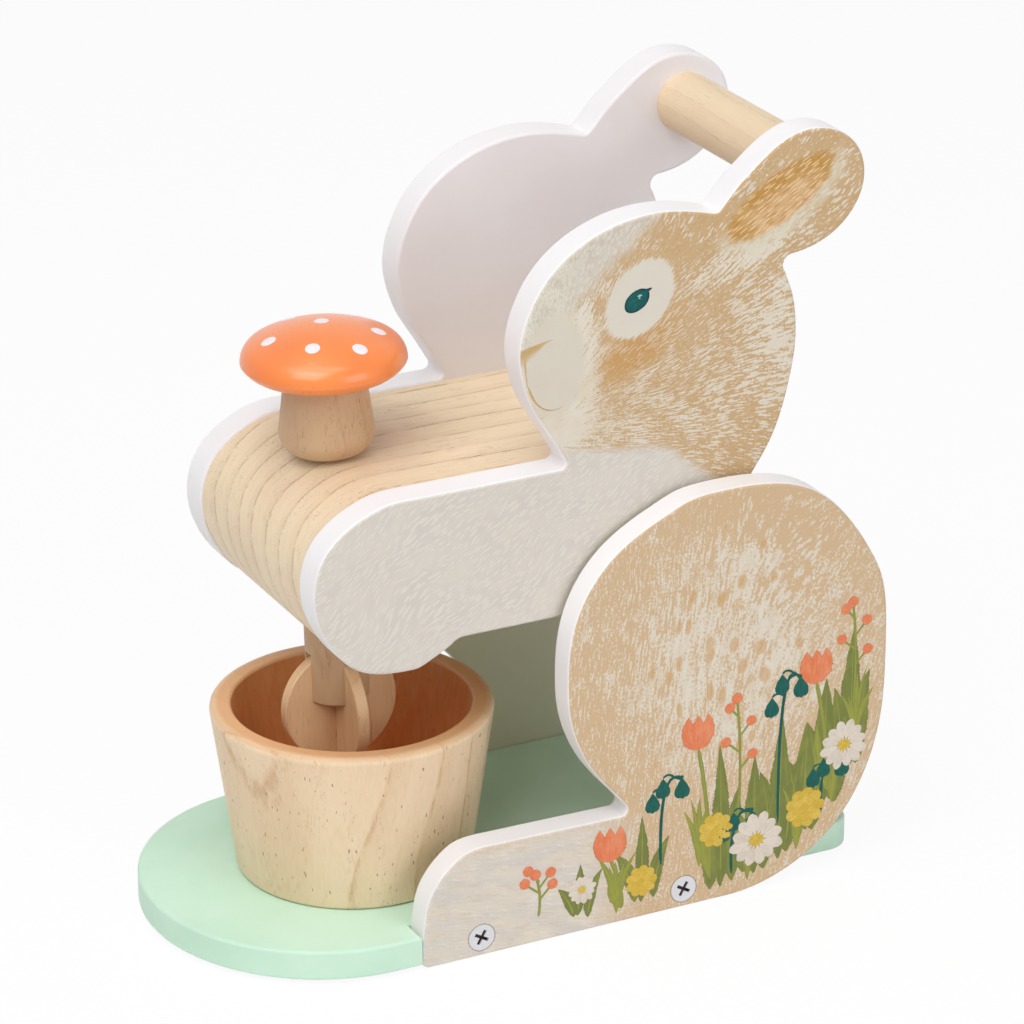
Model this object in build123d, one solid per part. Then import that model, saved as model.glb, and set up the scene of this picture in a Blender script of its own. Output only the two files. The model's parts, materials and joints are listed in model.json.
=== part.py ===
from build123d import *
import math
import os

# Toy stand mixer in the shape of a sitting rabbit, all in millimetres.
# +Z is up, the rabbit looks along -X, and its left side is -Y.
# The origin is the middle of the footprint, on the ground.

# ---- overall ---------------------------------------------------------------
LENGTH = 232.4          # front of the base board to the rump
HALF_WIDTH = 60.25      # centre plane to the outer face of a haunch panel
HAUNCH_T = 10.0         # haunch panel thickness
HEAD_T = 11.5           # head panel thickness
HEAD_PLAY = 1.55        # room between a head panel and a haunch panel
BOARD_T = 10.0          # base board thickness
BOARD_RISE = 1.5        # the haunch panels stand this far below the board
EDGE_R = 1.0            # rounding of the sawn edges
SCALE = LENGTH / 232.4  # the side view is drawn for a toy 232.4 long

# ---- base board ------------------------------------------------------------
BOARD_FRONT_X = SCALE * -59.0   # middle of the rounded front
BOARD_FRONT_RX = SCALE * 57.2   # reach of the rounded front along X
BOARD_REAR_X = SCALE * 112.0
BOARD_REAR_R = 8.5
NOTCH_X = SCALE * -50.8         # front wall of the notch for each haunch panel

# ---- tilting head ----------------------------------------------------------
PIVOT_X, PIVOT_Z = SCALE * 46.0, SCALE * 124.0
PIVOT_R = 6.0
PIVOT_IN = 7.0                  # depth of the dowel in each haunch panel
PIVOT_WASHER_R = 11.0
HEEL_R = SCALE * 18.5           # heel of the head, round about the pivot
ARM_TOP_Z = SCALE * 154.85      # top edge of the arm on the head panels
ARM_LOW_Z = SCALE * 105.5       # straight lower edge of the arm
BLOCK_SET = 0.6                 # the arm block lies this far inside the edge
BLOCK_REAR_X = SCALE * 62.0
BLOCK_REAR_R = 3.0
EAR_X, EAR_Z = SCALE * 93.35, SCALE * 235.5
EAR_R, EAR_IN = 10.0, 6.0       # ear dowel and its depth in each panel
HEAD_PINS = [(SCALE * x, SCALE * z) for x, z in ((-66.0, 132.0), (-14.0, 128.0), (34.0, 142.0))]
HEAD_PIN_R, HEAD_PIN_IN, HEAD_PIN_L = 4.0, 8.0, 24.0

# ---- whisk, along its own leaning axis; 0 is the top of the arm block --------
WHISK_X = SCALE * -52.7
WHISK_LEAN = 1.5                # degrees, the knob leans towards the nose
SPINDLE_R = 6.0
SPINDLE_TOP = 18.0              # end of the spindle inside the stem
SHAFT_R = 10.0
SHAFT_TOP = SCALE * -54.45      # shoulder of the shaft under the arm
SHAFT_END = SCALE * -83.8
DISC_R = 19.4
DISC_T = 4.0
DISC_W = SCALE * -86.7          # middle of both discs
TOP_WASHER_R, TOP_POCKET = 8.0, 0.35    # washer in a pocket in the arm's top
LOW_WASHER_R, LOW_POCKET = 9.5, 0.85    # washer on the shaft's shoulder

# ---- mushroom knob -----------------------------------------------------------
STEM_BASE_W = 0.5
STEM_R = 15.1                   # widest ring of the stem
CAP_W = 26.9                    # flat underside of the cap
CAP_R = 26.0
CAP_UNDER = 3.8                 # the widest ring lies this far above the underside
CAP_EDGE_R = 7.0                # rounded edge of the cap, above its widest ring
CAP_RISE = 11.5                 # crown above the widest ring
TENON_R, TENON_L = 7.0, 3.4     # stem's tenon in the cap

# ---- bowl ------------------------------------------------------------------
BOWL_X = SCALE * -45.8
BOWL_FOOT_R = 38.0
BOWL_RIM_R = 45.4
BOWL_MOUTH_R = 38.4
BOWL_RIM_Z = 67.9
BOWL_WALL = 5.4                 # wall at the foot
BOWL_FLOOR_T = 8.5
BOWL_COVE_R = 7.0               # hollow corner between wall and floor

# ---- rails, screws and pegs ----------------------------------------------------
RAIL_W, RAIL_H = 14.0, 20.0
RAIL_PIN_R, RAIL_PIN_IN, RAIL_PIN_L = 3.0, 7.0, 18.0
RAIL_PIN_GAP = 10.0
SCREW_X = (SCALE * -30.0, SCALE * 42.5)
SCREW_Z = BOARD_RISE + BOARD_T / 2
SCREW_L = 30.0
SCREW_HEAD_R = 4.5
SCREW_R = 2.0
CROSS_L, CROSS_W, CROSS_IN = 5.2, 1.1, 1.5      # cross recess of a screw head
KNOB_SCREW_LOW = 2.0            # tip of the screw in the spindle
PAN_R, PAN_H = 4.2, 2.6         # its pan head

# ---- clearances ------------------------------------------------------------
RUN = 0.05              # running fit, on the radius
SLIP = 0.04             # slip washer, each side
GLUE = 0.02             # glued peg in its hole, on the radius
REST = 0.05             # loose piece standing on another
HOLE_END = 0.3          # end of a peg to the bottom of its hole
CUT = 1.0               # a cutter reaches this far past what it cuts

HAUNCH_IN = HALF_WIDTH - HAUNCH_T
HEAD_HALF = HAUNCH_IN - HEAD_PLAY
HEAD_IN = HEAD_HALF - HEAD_T
BOARD_TOP = BOARD_RISE + BOARD_T
BLOCK_TOP = ARM_TOP_Z - BLOCK_SET
WHISK = Location((WHISK_X, 0, BLOCK_TOP), (0, -WHISK_LEAN, 0))
RAIL_REST = (SCALE * 37.0, ARM_LOW_Z - REST)    # middle x and top z
RAIL_STOP = (SCALE * 85.0, SCALE * 115.8)


# ---- helpers -----------------------------------------------------------------
def outline(start, *moves):
    """Closed face in the XZ plane.

    A move is (x, z) for a straight line, ((x, z), (x, z)) for an arc through the
    first to the second, or a list of points for a smooth curve through them; a
    curve's last item is the direction it ends in.
    """
    here = Vector(start[0], 0, start[1])
    first = here
    edges = []
    for move in moves:
        if isinstance(move, list):
            points = [here] + [Vector(x, 0, z) for x, z in move[:-1]]
            leave = edges[-1].tangent_at(1)
            arrive = Vector(move[-1][0], 0, move[-1][1])
            edges.append(Edge.make_spline(points, tangents=[leave, arrive]))
            here = points[-1]
            continue
        if isinstance(move[0], tuple):
            mid = Vector(move[0][0], 0, move[0][1])
            end = Vector(move[1][0], 0, move[1][1])
            edges.append(Edge.make_three_point_arc(here, mid, end))
        else:
            end = Vector(move[0], 0, move[1])
            edges.append(Edge.make_line(here, end))
        here = end
    if (here - first).length > 1e-6:
        edges.append(Edge.make_line(here, first))
    return Face(Wire(edges))


def sawn(start, *moves):
    """An outline in the drawing's own size, grown to the toy's length."""
    return scale(outline(start, *moves), SCALE)


def turned(start, *moves):
    """Solid of revolution about Z from a profile in the XZ plane."""
    return revolve(outline(start, *moves), Axis.Z)


def slab(face, y_low, thickness):
    """The face pulled out along +Y from y_low."""
    body = extrude(face, thickness, dir=(0, 1, 0))
    return Pos(0, y_low, 0) * body


def rod(radius, y_one, y_two, x, z):
    """Round bar along Y between two places."""
    bar = Cylinder(radius, abs(y_two - y_one), rotation=(90, 0, 0))
    return Pos(x, (y_one + y_two) / 2, z) * bar


def post(radius, low, high):
    """Round bar along Z on the Z axis."""
    return Pos(0, 0, (low + high) / 2) * Cylinder(radius, high - low)


def soften(panel, radius):
    """Round the two outline edges of a sawn panel."""
    rows = panel.edges().group_by(Axis.Y)
    return fillet(rows[0] + rows[-1], radius)


# ---- outlines --------------------------------------------------------------
def paw(top, low, inset):
    """Round front of the arm, from the end of its top edge to its lower edge."""
    return (
        [(-65.2, top - 3.9 - 0.1 * inset), (-76.3 + 0.8 * inset, top - 13.0),
         (-80.25 + inset, 127.4), (-75.2 + 0.8 * inset, 111.4 + 0.5 * inset),
         (-62.2 + 0.4 * inset, 99.7 + 0.9 * inset), (-48.5, 97.8 + inset),
         (-34.0 - 0.3 * inset, 103.5 + inset), (0.88, 0.47)],
        ((-31.7, low - 0.4), (-29.2, low)),
    )


def heel(x, z, radius):
    """Quarter turn about the pivot, from below it to behind it."""
    low = radius * math.sin(math.pi / 4)
    return ((x + low, z - low), (x + radius, z))


def head_outline():
    """Arm, head and ear in one sawn outline."""
    top, low = ARM_TOP_Z / SCALE, ARM_LOW_Z / SCALE
    pivot_x, pivot_z = PIVOT_X / SCALE, PIVOT_Z / SCALE
    return sawn(
        (3.59, top),
        (-49.9, top),                                       # top of the arm
        *paw(top, low, 0.0),
        (pivot_x, low),                                     # under the arm
        heel(pivot_x, pivot_z, HEEL_R / SCALE),
        [(66.6, 132.6), (77.6, 150.1), (84.3, 169.0), (86.6, 186.6),
         (85.2, 198.5), (82.3, 206.6), (-0.34, 0.94)],      # back and neck
        ((81.7, 210.0), (84.4, 212.0)),
        [(94.4, 214.3), (104.6, 221.4), (109.9, 233.0), (107.4, 243.6),
         (98.6, 250.6), (87.9, 251.9), (76.6, 247.2), (67.0, 239.5),
         (58.9, 230.9), (-0.66, -0.75)],                    # ear
        ((57.9, 230.1), (56.4, 230.0)),
        [(37.3, 233.3), (16.2, 229.6), (-0.3, 218.6), (-8.7, 204.0),
         (-10.4, 191.8), (-6.8, 178.4), (5.32, top + 3.0), (0.5, -0.866)],  # face
        ((5.32, top + 1.0), (3.59, top)),
    )


def block_outline():
    """Arm block between the head panels, just inside their edge."""
    inset = BLOCK_SET / SCALE
    top = BLOCK_TOP / SCALE
    low = ARM_LOW_Z / SCALE + inset
    pivot_x, pivot_z = PIVOT_X / SCALE, PIVOT_Z / SCALE
    rear, corner = BLOCK_REAR_X / SCALE, BLOCK_REAR_R / SCALE
    bevel = corner * (1 - math.sin(math.pi / 4))
    return sawn(
        (rear - corner, top),
        (-49.9, top),
        *paw(top, low, inset),
        (pivot_x, low),
        heel(pivot_x, pivot_z, HEEL_R / SCALE - inset),
        (rear, pivot_z + 6.0),
        (rear, top - corner),
        ((rear - bevel, top - bevel), (rear - corner, top)),
    )


def haunch_outline():
    """Haunch and foot in one sawn outline."""
    return sawn(
        (58.4, 0.0),
        (-48.0, 0.0),                                       # sole
        ((-49.768, 0.732), (-50.5, 2.5)),
        [(-49.8, 14.7), (-47.3, 25.2), (-39.1, 34.9), (-27.0, 38.1), (1.0, -0.015)],
        (19.8, 37.4),                                       # instep
        ((21.794, 38.67), (21.492, 41.006)),
        [(8.4, 57.4), (1.5, 74.8), (0.5, 88.0), (0.0, 1.0)],
        [(5.0, 112.6), (19.4, 130.0), (37.0, 139.3), (58.3, 142.8), (1.0, 0.0)],
        [(92.0, 133.6), (109.6, 111.2), (116.2, 79.0), (0.0, -1.0)],
        [(114.6, 50.0), (99.5, 17.8), (-0.67, -0.742)],
        [(80.5, 4.6), (58.4, 0.0), (-1.0, 0.0)],            # haunch and heel
    )


# ---- base ------------------------------------------------------------------
def base_board():
    front = Pos(BOARD_FRONT_X, 0) * Ellipse(BOARD_FRONT_RX, HALF_WIDTH)
    cheek = Pos((BOARD_FRONT_X + NOTCH_X) / 2, 0)
    cheek *= Rectangle(NOTCH_X - BOARD_FRONT_X, 2 * HALF_WIDTH)
    rear = Rectangle(BOARD_REAR_X - BOARD_FRONT_X, 2 * HAUNCH_IN)
    rear = fillet(rear.vertices().group_by(Axis.X)[-1], BOARD_REAR_R)
    rear = Pos((BOARD_REAR_X + BOARD_FRONT_X) / 2, 0) * rear
    behind = Rectangle(2 * BOARD_FRONT_RX, 2 * (HALF_WIDTH + CUT))
    behind = Pos(NOTCH_X + BOARD_FRONT_RX, 0) * behind
    plan = (front - behind) + cheek + rear
    board = extrude(Pos(0, 0, BOARD_RISE) * plan, BOARD_T)
    rows = board.edges().group_by(Axis.Z)
    board = fillet(rows[0] + rows[-1], EDGE_R)
    for x in SCREW_X:
        for side in (-1, 1):
            tip = side * (HALF_WIDTH - SCREW_L - HOLE_END)
            board -= rod(SCREW_R + GLUE, side * (HAUNCH_IN + CUT), tip, x, SCREW_Z)
    return board


def rail_pin_spots(rail):
    """Two pegs one above the other in each end of a rail."""
    x, top = rail
    mid = top - RAIL_H / 2
    return [(x, mid - RAIL_PIN_GAP / 2), (x, mid + RAIL_PIN_GAP / 2)]


def haunch_panel(side):
    """side -1 is the left panel, +1 the right one."""
    y_low = -HALF_WIDTH if side < 0 else HAUNCH_IN
    panel = soften(slab(haunch_outline(), y_low, HAUNCH_T), EDGE_R)
    open_end = side * (HAUNCH_IN - CUT)
    for rail in (RAIL_REST, RAIL_STOP):
        for x, z in rail_pin_spots(rail):
            bottom = side * (HAUNCH_IN + RAIL_PIN_IN + HOLE_END)
            panel -= rod(RAIL_PIN_R + GLUE, open_end, bottom, x, z)
    bottom = side * (HAUNCH_IN + PIVOT_IN + HOLE_END)
    panel -= rod(PIVOT_R + GLUE, open_end, bottom, PIVOT_X, PIVOT_Z)
    deep = SCREW_HEAD_R - SCREW_R
    for x in SCREW_X:
        panel -= rod(SCREW_R + GLUE, open_end, side * (HALF_WIDTH + CUT), x, SCREW_Z)
        sink = Rot(side * -90, 0, 0) * Cone(SCREW_R + GLUE, SCREW_HEAD_R + GLUE, deep)
        panel -= Pos(x, side * (HALF_WIDTH - deep / 2), SCREW_Z) * sink
    return panel


def base_screws():
    """Four countersunk cross-head screws holding the haunch panels to the board."""
    deep = SCREW_HEAD_R - SCREW_R
    screws = []
    for x in SCREW_X:
        for side in (-1, 1):
            head = Rot(side * -90, 0, 0) * Cone(SCREW_R, SCREW_HEAD_R, deep)
            screw = Pos(x, side * (HALF_WIDTH - deep / 2), SCREW_Z) * head
            tip = side * (HALF_WIDTH - SCREW_L)
            screw += rod(SCREW_R, side * (HALF_WIDTH - deep), tip, x, SCREW_Z)
            for turn in (30, 120):
                slot = Rot(0, turn, 0) * Box(CROSS_L, 2 * CROSS_IN, CROSS_W)
                screw -= Pos(x, side * HALF_WIDTH, SCREW_Z) * slot
            screws.append(screw)
    return Compound(children=screws)


def rail(place):
    """Square batten glued between the haunch panels."""
    x, top = place
    box = Box(RAIL_W, 2 * HAUNCH_IN, RAIL_H)
    box = fillet(box.edges().filter_by(Axis.Y), EDGE_R)
    bar = Pos(x, 0, top - RAIL_H / 2) * box
    for pin_x, pin_z in rail_pin_spots(place):
        for side in (-1, 1):
            bottom = side * (HAUNCH_IN + RAIL_PIN_IN - RAIL_PIN_L - HOLE_END)
            bar -= rod(RAIL_PIN_R + GLUE, side * (HAUNCH_IN + CUT), bottom, pin_x, pin_z)
    return bar


def rail_pins():
    pins = []
    for place in (RAIL_REST, RAIL_STOP):
        for x, z in rail_pin_spots(place):
            for side in (-1, 1):
                outer = HAUNCH_IN + RAIL_PIN_IN
                pins.append(rod(RAIL_PIN_R, side * outer, side * (outer - RAIL_PIN_L), x, z))
    return Compound(children=pins)


def pivot_dowel():
    reach = HAUNCH_IN + PIVOT_IN
    return rod(PIVOT_R, -reach, reach, PIVOT_X, PIVOT_Z)


def pivot_washers():
    """Thin slip washers keeping the head off the haunch panels."""
    rings = []
    for side in (-1, 1):
        ring = rod(PIVOT_WASHER_R, side * (HEAD_HALF + RUN), side * HAUNCH_IN, PIVOT_X, PIVOT_Z)
        bore = rod(PIVOT_R + GLUE, side * HEAD_IN, side * HALF_WIDTH, PIVOT_X, PIVOT_Z)
        rings.append(ring - bore)
    return Compound(children=rings)


# ---- head ------------------------------------------------------------------
def head_panel(side):
    """side -1 is the left panel, +1 the right one."""
    y_low = -HEAD_HALF if side < 0 else HEAD_IN
    panel = soften(slab(head_outline(), y_low, HEAD_T), EDGE_R)
    open_end = side * (HEAD_IN - CUT)
    panel -= rod(EAR_R + GLUE, open_end, side * (HEAD_IN + EAR_IN + HOLE_END), EAR_X, EAR_Z)
    for x, z in HEAD_PINS:
        bottom = side * (HEAD_IN + HEAD_PIN_IN + HOLE_END)
        panel -= rod(HEAD_PIN_R + GLUE, open_end, bottom, x, z)
    panel -= rod(PIVOT_R + RUN, open_end, side * (HEAD_HALF + CUT), PIVOT_X, PIVOT_Z)
    return panel


def arm_block():
    block = slab(block_outline(), -HEAD_IN, 2 * HEAD_IN)
    block -= rod(PIVOT_R + RUN, -HEAD_IN - CUT, HEAD_IN + CUT, PIVOT_X, PIVOT_Z)
    for x, z in HEAD_PINS:
        for side in (-1, 1):
            bottom = side * (HEAD_IN + HEAD_PIN_IN - HEAD_PIN_L - HOLE_END)
            block -= rod(HEAD_PIN_R + GLUE, side * (HEAD_IN + CUT), bottom, x, z)
    block -= WHISK * post(SPINDLE_R + RUN, SHAFT_TOP, CUT)
    block -= WHISK * post(TOP_WASHER_R + CUT, -TOP_POCKET, CUT)
    block -= WHISK * post(SHAFT_R + 1.5 * CUT, SHAFT_END, SHAFT_TOP + LOW_POCKET)
    return block


def head_pins():
    pins = []
    for x, z in HEAD_PINS:
        for side in (-1, 1):
            outer = HEAD_IN + HEAD_PIN_IN
            pins.append(rod(HEAD_PIN_R, side * outer, side * (outer - HEAD_PIN_L), x, z))
    return Compound(children=pins)


def ear_handle():
    reach = HEAD_IN + EAR_IN
    return rod(EAR_R, -reach, reach, EAR_X, EAR_Z)


# ---- whisk -----------------------------------------------------------------
def mushroom_cap():
    wide = CAP_W + CAP_UNDER
    edge_x = CAP_R - CAP_EDGE_R
    crown_r = (edge_x**2 + CAP_RISE**2 - CAP_EDGE_R**2) / (2 * (CAP_RISE - CAP_EDGE_R))
    crown_low = CAP_RISE - crown_r
    lean = math.atan2(edge_x, -crown_low)

    def on_edge(angle):
        return (edge_x + CAP_EDGE_R * math.cos(angle), wide + CAP_EDGE_R * math.sin(angle))

    def on_crown(angle):
        return (crown_r * math.sin(angle), wide + crown_low + crown_r * math.cos(angle))

    turn = math.pi / 2 - lean
    cap = turned(
        (0, CAP_W),
        (CAP_R - 5.9, CAP_W),
        ((CAP_R - 2.1, wide - 0.62 * CAP_UNDER), (CAP_R, wide)),
        (on_edge(turn / 2), on_edge(turn)),
        (on_crown(lean / 2), (0, wide + CAP_RISE)),
    )
    mortise = CAP_W + TENON_L
    cap -= post(TENON_R + GLUE, CAP_W - CUT, mortise + REST)
    cap -= post(PAN_R + HOLE_END, CAP_W, mortise + PAN_H + HOLE_END)
    return WHISK * cap


def mushroom_stem():
    low = STEM_BASE_W
    shoulder = CAP_W - GLUE
    stem = turned(
        (0, low),
        (STEM_R - 5.6, low),
        ((STEM_R - 1.4, low + 2.6), (STEM_R, low + 7.1)),
        ((STEM_R - 0.9, low + 14.0), (STEM_R - 2.5, shoulder)),
        (TENON_R, shoulder),
        (TENON_R, CAP_W + TENON_L),
        (0, CAP_W + TENON_L),
    )
    stem -= post(SPINDLE_R + GLUE, low - CUT, SPINDLE_TOP + REST)
    stem -= post(SCREW_R + GLUE, SPINDLE_TOP - CUT, CAP_W + TENON_L + CUT)
    return WHISK * stem


def spindle_screw():
    """Pan-head screw down through the stem into the spindle, under the cap."""
    seat = CAP_W + TENON_L
    screw = post(SCREW_R, KNOB_SCREW_LOW, seat) + post(PAN_R, seat, seat + PAN_H)
    for turn in (0, 90):
        slot = Rot(0, 0, turn) * Box(CROSS_L, CROSS_W, 2 * CROSS_IN)
        screw -= Pos(0, 0, seat + PAN_H) * slot
    return WHISK * screw


def whisk_washers():
    """Slip washers above and below the arm block."""
    top = post(TOP_WASHER_R, -TOP_POCKET + SLIP, STEM_BASE_W - SLIP)
    low = post(LOW_WASHER_R, SHAFT_TOP + SLIP, SHAFT_TOP + LOW_POCKET - SLIP)
    bore = post(SPINDLE_R + RUN, SHAFT_END, SPINDLE_TOP)
    return Compound(children=[WHISK * (top - bore), WHISK * (low - bore)])


def whisk_shaft():
    """Slotted dowel below the arm, turned down to a spindle through it."""
    shaft = post(SHAFT_R, SHAFT_END, SHAFT_TOP)
    shaft = chamfer(shaft.edges().group_by(Axis.Z)[0], 0.6 * EDGE_R)
    shaft += post(SPINDLE_R, SHAFT_TOP - CUT, SPINDLE_TOP)
    shaft -= post(SCREW_R + GLUE, KNOB_SCREW_LOW - HOLE_END, SPINDLE_TOP + CUT)
    slot_top = DISC_W + DISC_R + REST
    height = slot_top - SHAFT_END + CUT
    for turn in (0, 90):
        slot = Box(3 * SHAFT_R, DISC_T + 2 * GLUE, height)
        shaft -= Pos(0, 0, slot_top - height / 2) * Rot(0, 0, turn) * slot
    return WHISK * shaft


def whisk_disc(turn, notch_up):
    """One of the two crossing discs, notched to its middle for the other."""
    disc = Cylinder(DISC_R, DISC_T, rotation=(90, 0, 0))
    disc = chamfer(disc.edges(), 0.4 * EDGE_R)
    lift = DISC_R if notch_up else -DISC_R
    notch = Box(DISC_T + 2 * GLUE, DISC_T + CUT, 2 * (DISC_R + GLUE))
    disc -= Pos(0, 0, lift) * notch
    return WHISK * (Pos(0, 0, DISC_W) * Rot(0, 0, turn) * disc)


# ---- bowl ------------------------------------------------------------------
def mixing_bowl():
    low = BOARD_TOP + REST
    rim = BOWL_RIM_Z
    floor = low + BOWL_FLOOR_T
    inner = BOWL_FOOT_R - BOWL_WALL
    bend = 0.7 * BOWL_COVE_R
    bowl = turned(
        (0, low),
        (BOWL_FOOT_R - 1.5, low),
        ((BOWL_FOOT_R - 0.45, low + 0.45), (BOWL_FOOT_R, low + 1.5)),
        (BOWL_RIM_R, rim - 2.4),
        ((BOWL_RIM_R - 0.6, rim - 0.7), (BOWL_RIM_R - 2.3, rim)),
        (BOWL_MOUTH_R + 1.2, rim),
        ((BOWL_MOUTH_R + 0.35, rim - 0.35), (BOWL_MOUTH_R, rim - 1.2)),
        (inner, floor + BOWL_COVE_R),
        ((inner - BOWL_COVE_R + bend, floor + BOWL_COVE_R - bend), (inner - BOWL_COVE_R, floor)),
        (0, floor),
    )
    return Pos(BOWL_X, 0, 0) * bowl


PARTS = {
    "base_board": base_board,
    "left_haunch_panel": lambda: haunch_panel(-1),
    "right_haunch_panel": lambda: haunch_panel(1),
    "base_screws": base_screws,
    "rest_rail": lambda: rail(RAIL_REST),
    "stop_rail": lambda: rail(RAIL_STOP),
    "rail_pins": rail_pins,
    "pivot_dowel": pivot_dowel,
    "pivot_washers": pivot_washers,
    "left_head_panel": lambda: head_panel(-1),
    "right_head_panel": lambda: head_panel(1),
    "arm_block": arm_block,
    "head_pins": head_pins,
    "ear_handle": ear_handle,
    "mushroom_cap": mushroom_cap,
    "mushroom_stem": mushroom_stem,
    "spindle_screw": spindle_screw,
    "whisk_washers": whisk_washers,
    "whisk_shaft": whisk_shaft,
    "whisk_disc_long": lambda: whisk_disc(0, True),
    "whisk_disc_cross": lambda: whisk_disc(90, False),
    "mixing_bowl": mixing_bowl,
}

os.makedirs("parts", exist_ok=True)
for name, build in PARTS.items():
    export_step(build(), f"parts/{name}.step")
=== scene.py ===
import json
import logging
import math
from dataclasses import dataclass, field
from enum import Enum
from typing import Optional, Sequence, Union

import bpy
import numpy as np
from mathutils import Matrix, Vector


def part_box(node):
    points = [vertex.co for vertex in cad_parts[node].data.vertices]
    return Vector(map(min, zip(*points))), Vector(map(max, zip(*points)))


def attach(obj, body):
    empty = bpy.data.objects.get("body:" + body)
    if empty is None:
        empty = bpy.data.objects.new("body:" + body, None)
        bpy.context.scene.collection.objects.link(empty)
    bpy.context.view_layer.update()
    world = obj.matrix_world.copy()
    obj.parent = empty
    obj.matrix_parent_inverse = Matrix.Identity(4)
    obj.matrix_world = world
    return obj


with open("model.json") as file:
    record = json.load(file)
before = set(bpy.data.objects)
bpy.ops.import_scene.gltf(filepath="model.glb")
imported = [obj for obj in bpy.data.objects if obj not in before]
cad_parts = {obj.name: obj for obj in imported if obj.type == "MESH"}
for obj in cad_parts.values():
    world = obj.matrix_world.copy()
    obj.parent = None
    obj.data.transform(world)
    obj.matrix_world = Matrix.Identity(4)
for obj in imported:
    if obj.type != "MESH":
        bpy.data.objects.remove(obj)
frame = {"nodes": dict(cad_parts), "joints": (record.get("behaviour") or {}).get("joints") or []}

# Looks of a wooden toy stand mixer in the shape of a sitting rabbit.
# Drawing sizes are in millimetres in the toy's own frame: -X is the way the
# rabbit looks, -Y its left side, +Z up. Meshes are made in metres.

MM = 0.001
PICTURE_PIXELS = 1024
log = logging.getLogger("toy_mixer")

Colour = tuple[float, float, float, float]
Spot = tuple[float, float]


def linear(red: float, green: float, blue: float) -> Colour:
    """Turn a screen colour of 0 to 255 a channel into Blender's linear one.

    Args:
        red: Red, 0 to 255.
        green: Green, 0 to 255.
        blue: Blue, 0 to 255.

    Returns:
        Linear red, green, blue and an alpha of 1.
    """
    channels = np.array([red, green, blue]) / 255.0
    out = np.where(channels <= 0.04045, channels / 12.92, ((channels + 0.055) / 1.055) ** 2.4)
    return (float(out[0]), float(out[1]), float(out[2]), 1.0)


# Paints of the board, the panels and the knob.
WHITE_PAINT = linear(245, 243, 244)
WHITE_SHADE = linear(240, 236, 238)
HEAD_INSIDE = linear(240, 236, 239)
HEAD_INSIDE_SHADE = linear(232, 225, 226)
# Inner faces of the haunch panels: white paint tinted green-yellow as painted reflection of light
# bounced off the mint board and the wood.
HAUNCH_BOUNCE_TINT = linear(236, 233, 216)
HAUNCH_BOUNCE_TINT_DEEP = linear(230, 226, 208)
MINT = linear(209, 239, 218)
MINT_DEEP = linear(199, 233, 210)
ORANGE = linear(246, 138, 64)
ORANGE_DEEP = linear(240, 122, 56)
SPOT_WHITE = linear(245, 236, 242)
SPOT_SHADE = linear(236, 226, 232)

# Metal, slip washers and the studio's floor.
ZINC_DULL = linear(196, 195, 198)
ZINC_BRIGHT = linear(236, 235, 238)
# Painted shade for the screws' cross recess.
ZINC_RECESS_SHADE = linear(74, 62, 60)
NYLON = linear(226, 222, 212)
NYLON_SHADE = linear(214, 208, 196)
FLOOR_WHITE = linear(250, 250, 250)
PURE_WHITE = (1.0, 1.0, 1.0, 1.0)

# Bare woods, light and dark.
ARM_LIGHT = linear(242, 222, 190)
ARM_DARK = linear(192, 152, 108)
BATTEN_LIGHT = linear(232, 208, 172)
BATTEN_DARK = linear(196, 158, 112)
DOWEL_LIGHT = linear(236, 213, 180)
DOWEL_DARK = linear(204, 170, 128)
STEM_LIGHT = linear(206, 171, 133)
STEM_DARK = linear(168, 128, 92)
DISC_LIGHT = linear(234, 196, 152)
DISC_DARK = linear(196, 150, 104)
BOWL_LIGHT = linear(242, 216, 183)
BOWL_DARK = linear(204, 156, 106)
BOWL_INSIDE = linear(224, 146, 72)
BOWL_RIM = linear(224, 180, 134)
BOWL_SPECK = linear(136, 92, 52)

# Printed fur of the head, from the cheek to the brow, the nose and the ear.
CREAM = linear(226, 218, 203)
CREAM_WARM = linear(222, 206, 180)
TAN = linear(203, 171, 129)
TAN_DEEP = linear(194, 157, 108)
OCHRE = linear(200, 152, 90)
RING_CREAM = linear(221, 213, 199)
MUZZLE_CREAM = linear(215, 205, 188)
MUZZLE_LIGHT = linear(220, 212, 197)
NOSE_BROWN = linear(196, 158, 96)
BROW_CREAM = linear(221, 216, 201)
BROW_GREY = linear(213, 205, 193)
BROW_SHADE = linear(203, 193, 179)
BROW_DASH = linear(227, 221, 207)
BROW_MARK = linear(184, 172, 146)
EAR_PEACH = linear(217, 177, 130)
EAR_TAN = linear(208, 166, 112)
EAR_GOLD = linear(190, 142, 62)
EAR_BROWN = linear(176, 124, 52)
EAR_DASH = linear(238, 208, 164)
EAR_BAND = linear(221, 211, 188)

# Printed fur of the arm, the haunch and the foot.
ARM_BEIGE = linear(219, 212, 202)
ARM_WARM = linear(219, 209, 196)
ARM_PALE = linear(232, 227, 216)
GREY_DEEP = linear(212, 205, 198)
HAUNCH_VEIL = linear(214, 194, 166)
HAUNCH_TAN = linear(209, 177, 137)
HAUNCH_WARM = linear(206, 162, 106)
FOOT_CREAM = linear(222, 212, 197)
FOOT_BROWN = linear(208, 188, 160)
FOOT_PALE = linear(231, 225, 214)
# Painted shadow in the gap round the haunch screws' heads.
SCREW_GAP_SHADOW = linear(122, 114, 110)

# Painted eye and mouth.
TEAL = linear(12, 84, 82)
TEAL_DARK = linear(6, 62, 64)
TEAL_RIM = linear(10, 76, 78)
TEAL_LIGHT = linear(22, 106, 102)
GLINT = linear(176, 200, 196)
GLINT_SHADE = linear(130, 172, 170)
MOUTH_TAN = linear(200, 162, 104)
MOUTH_LIGHT = linear(214, 186, 142)

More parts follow.
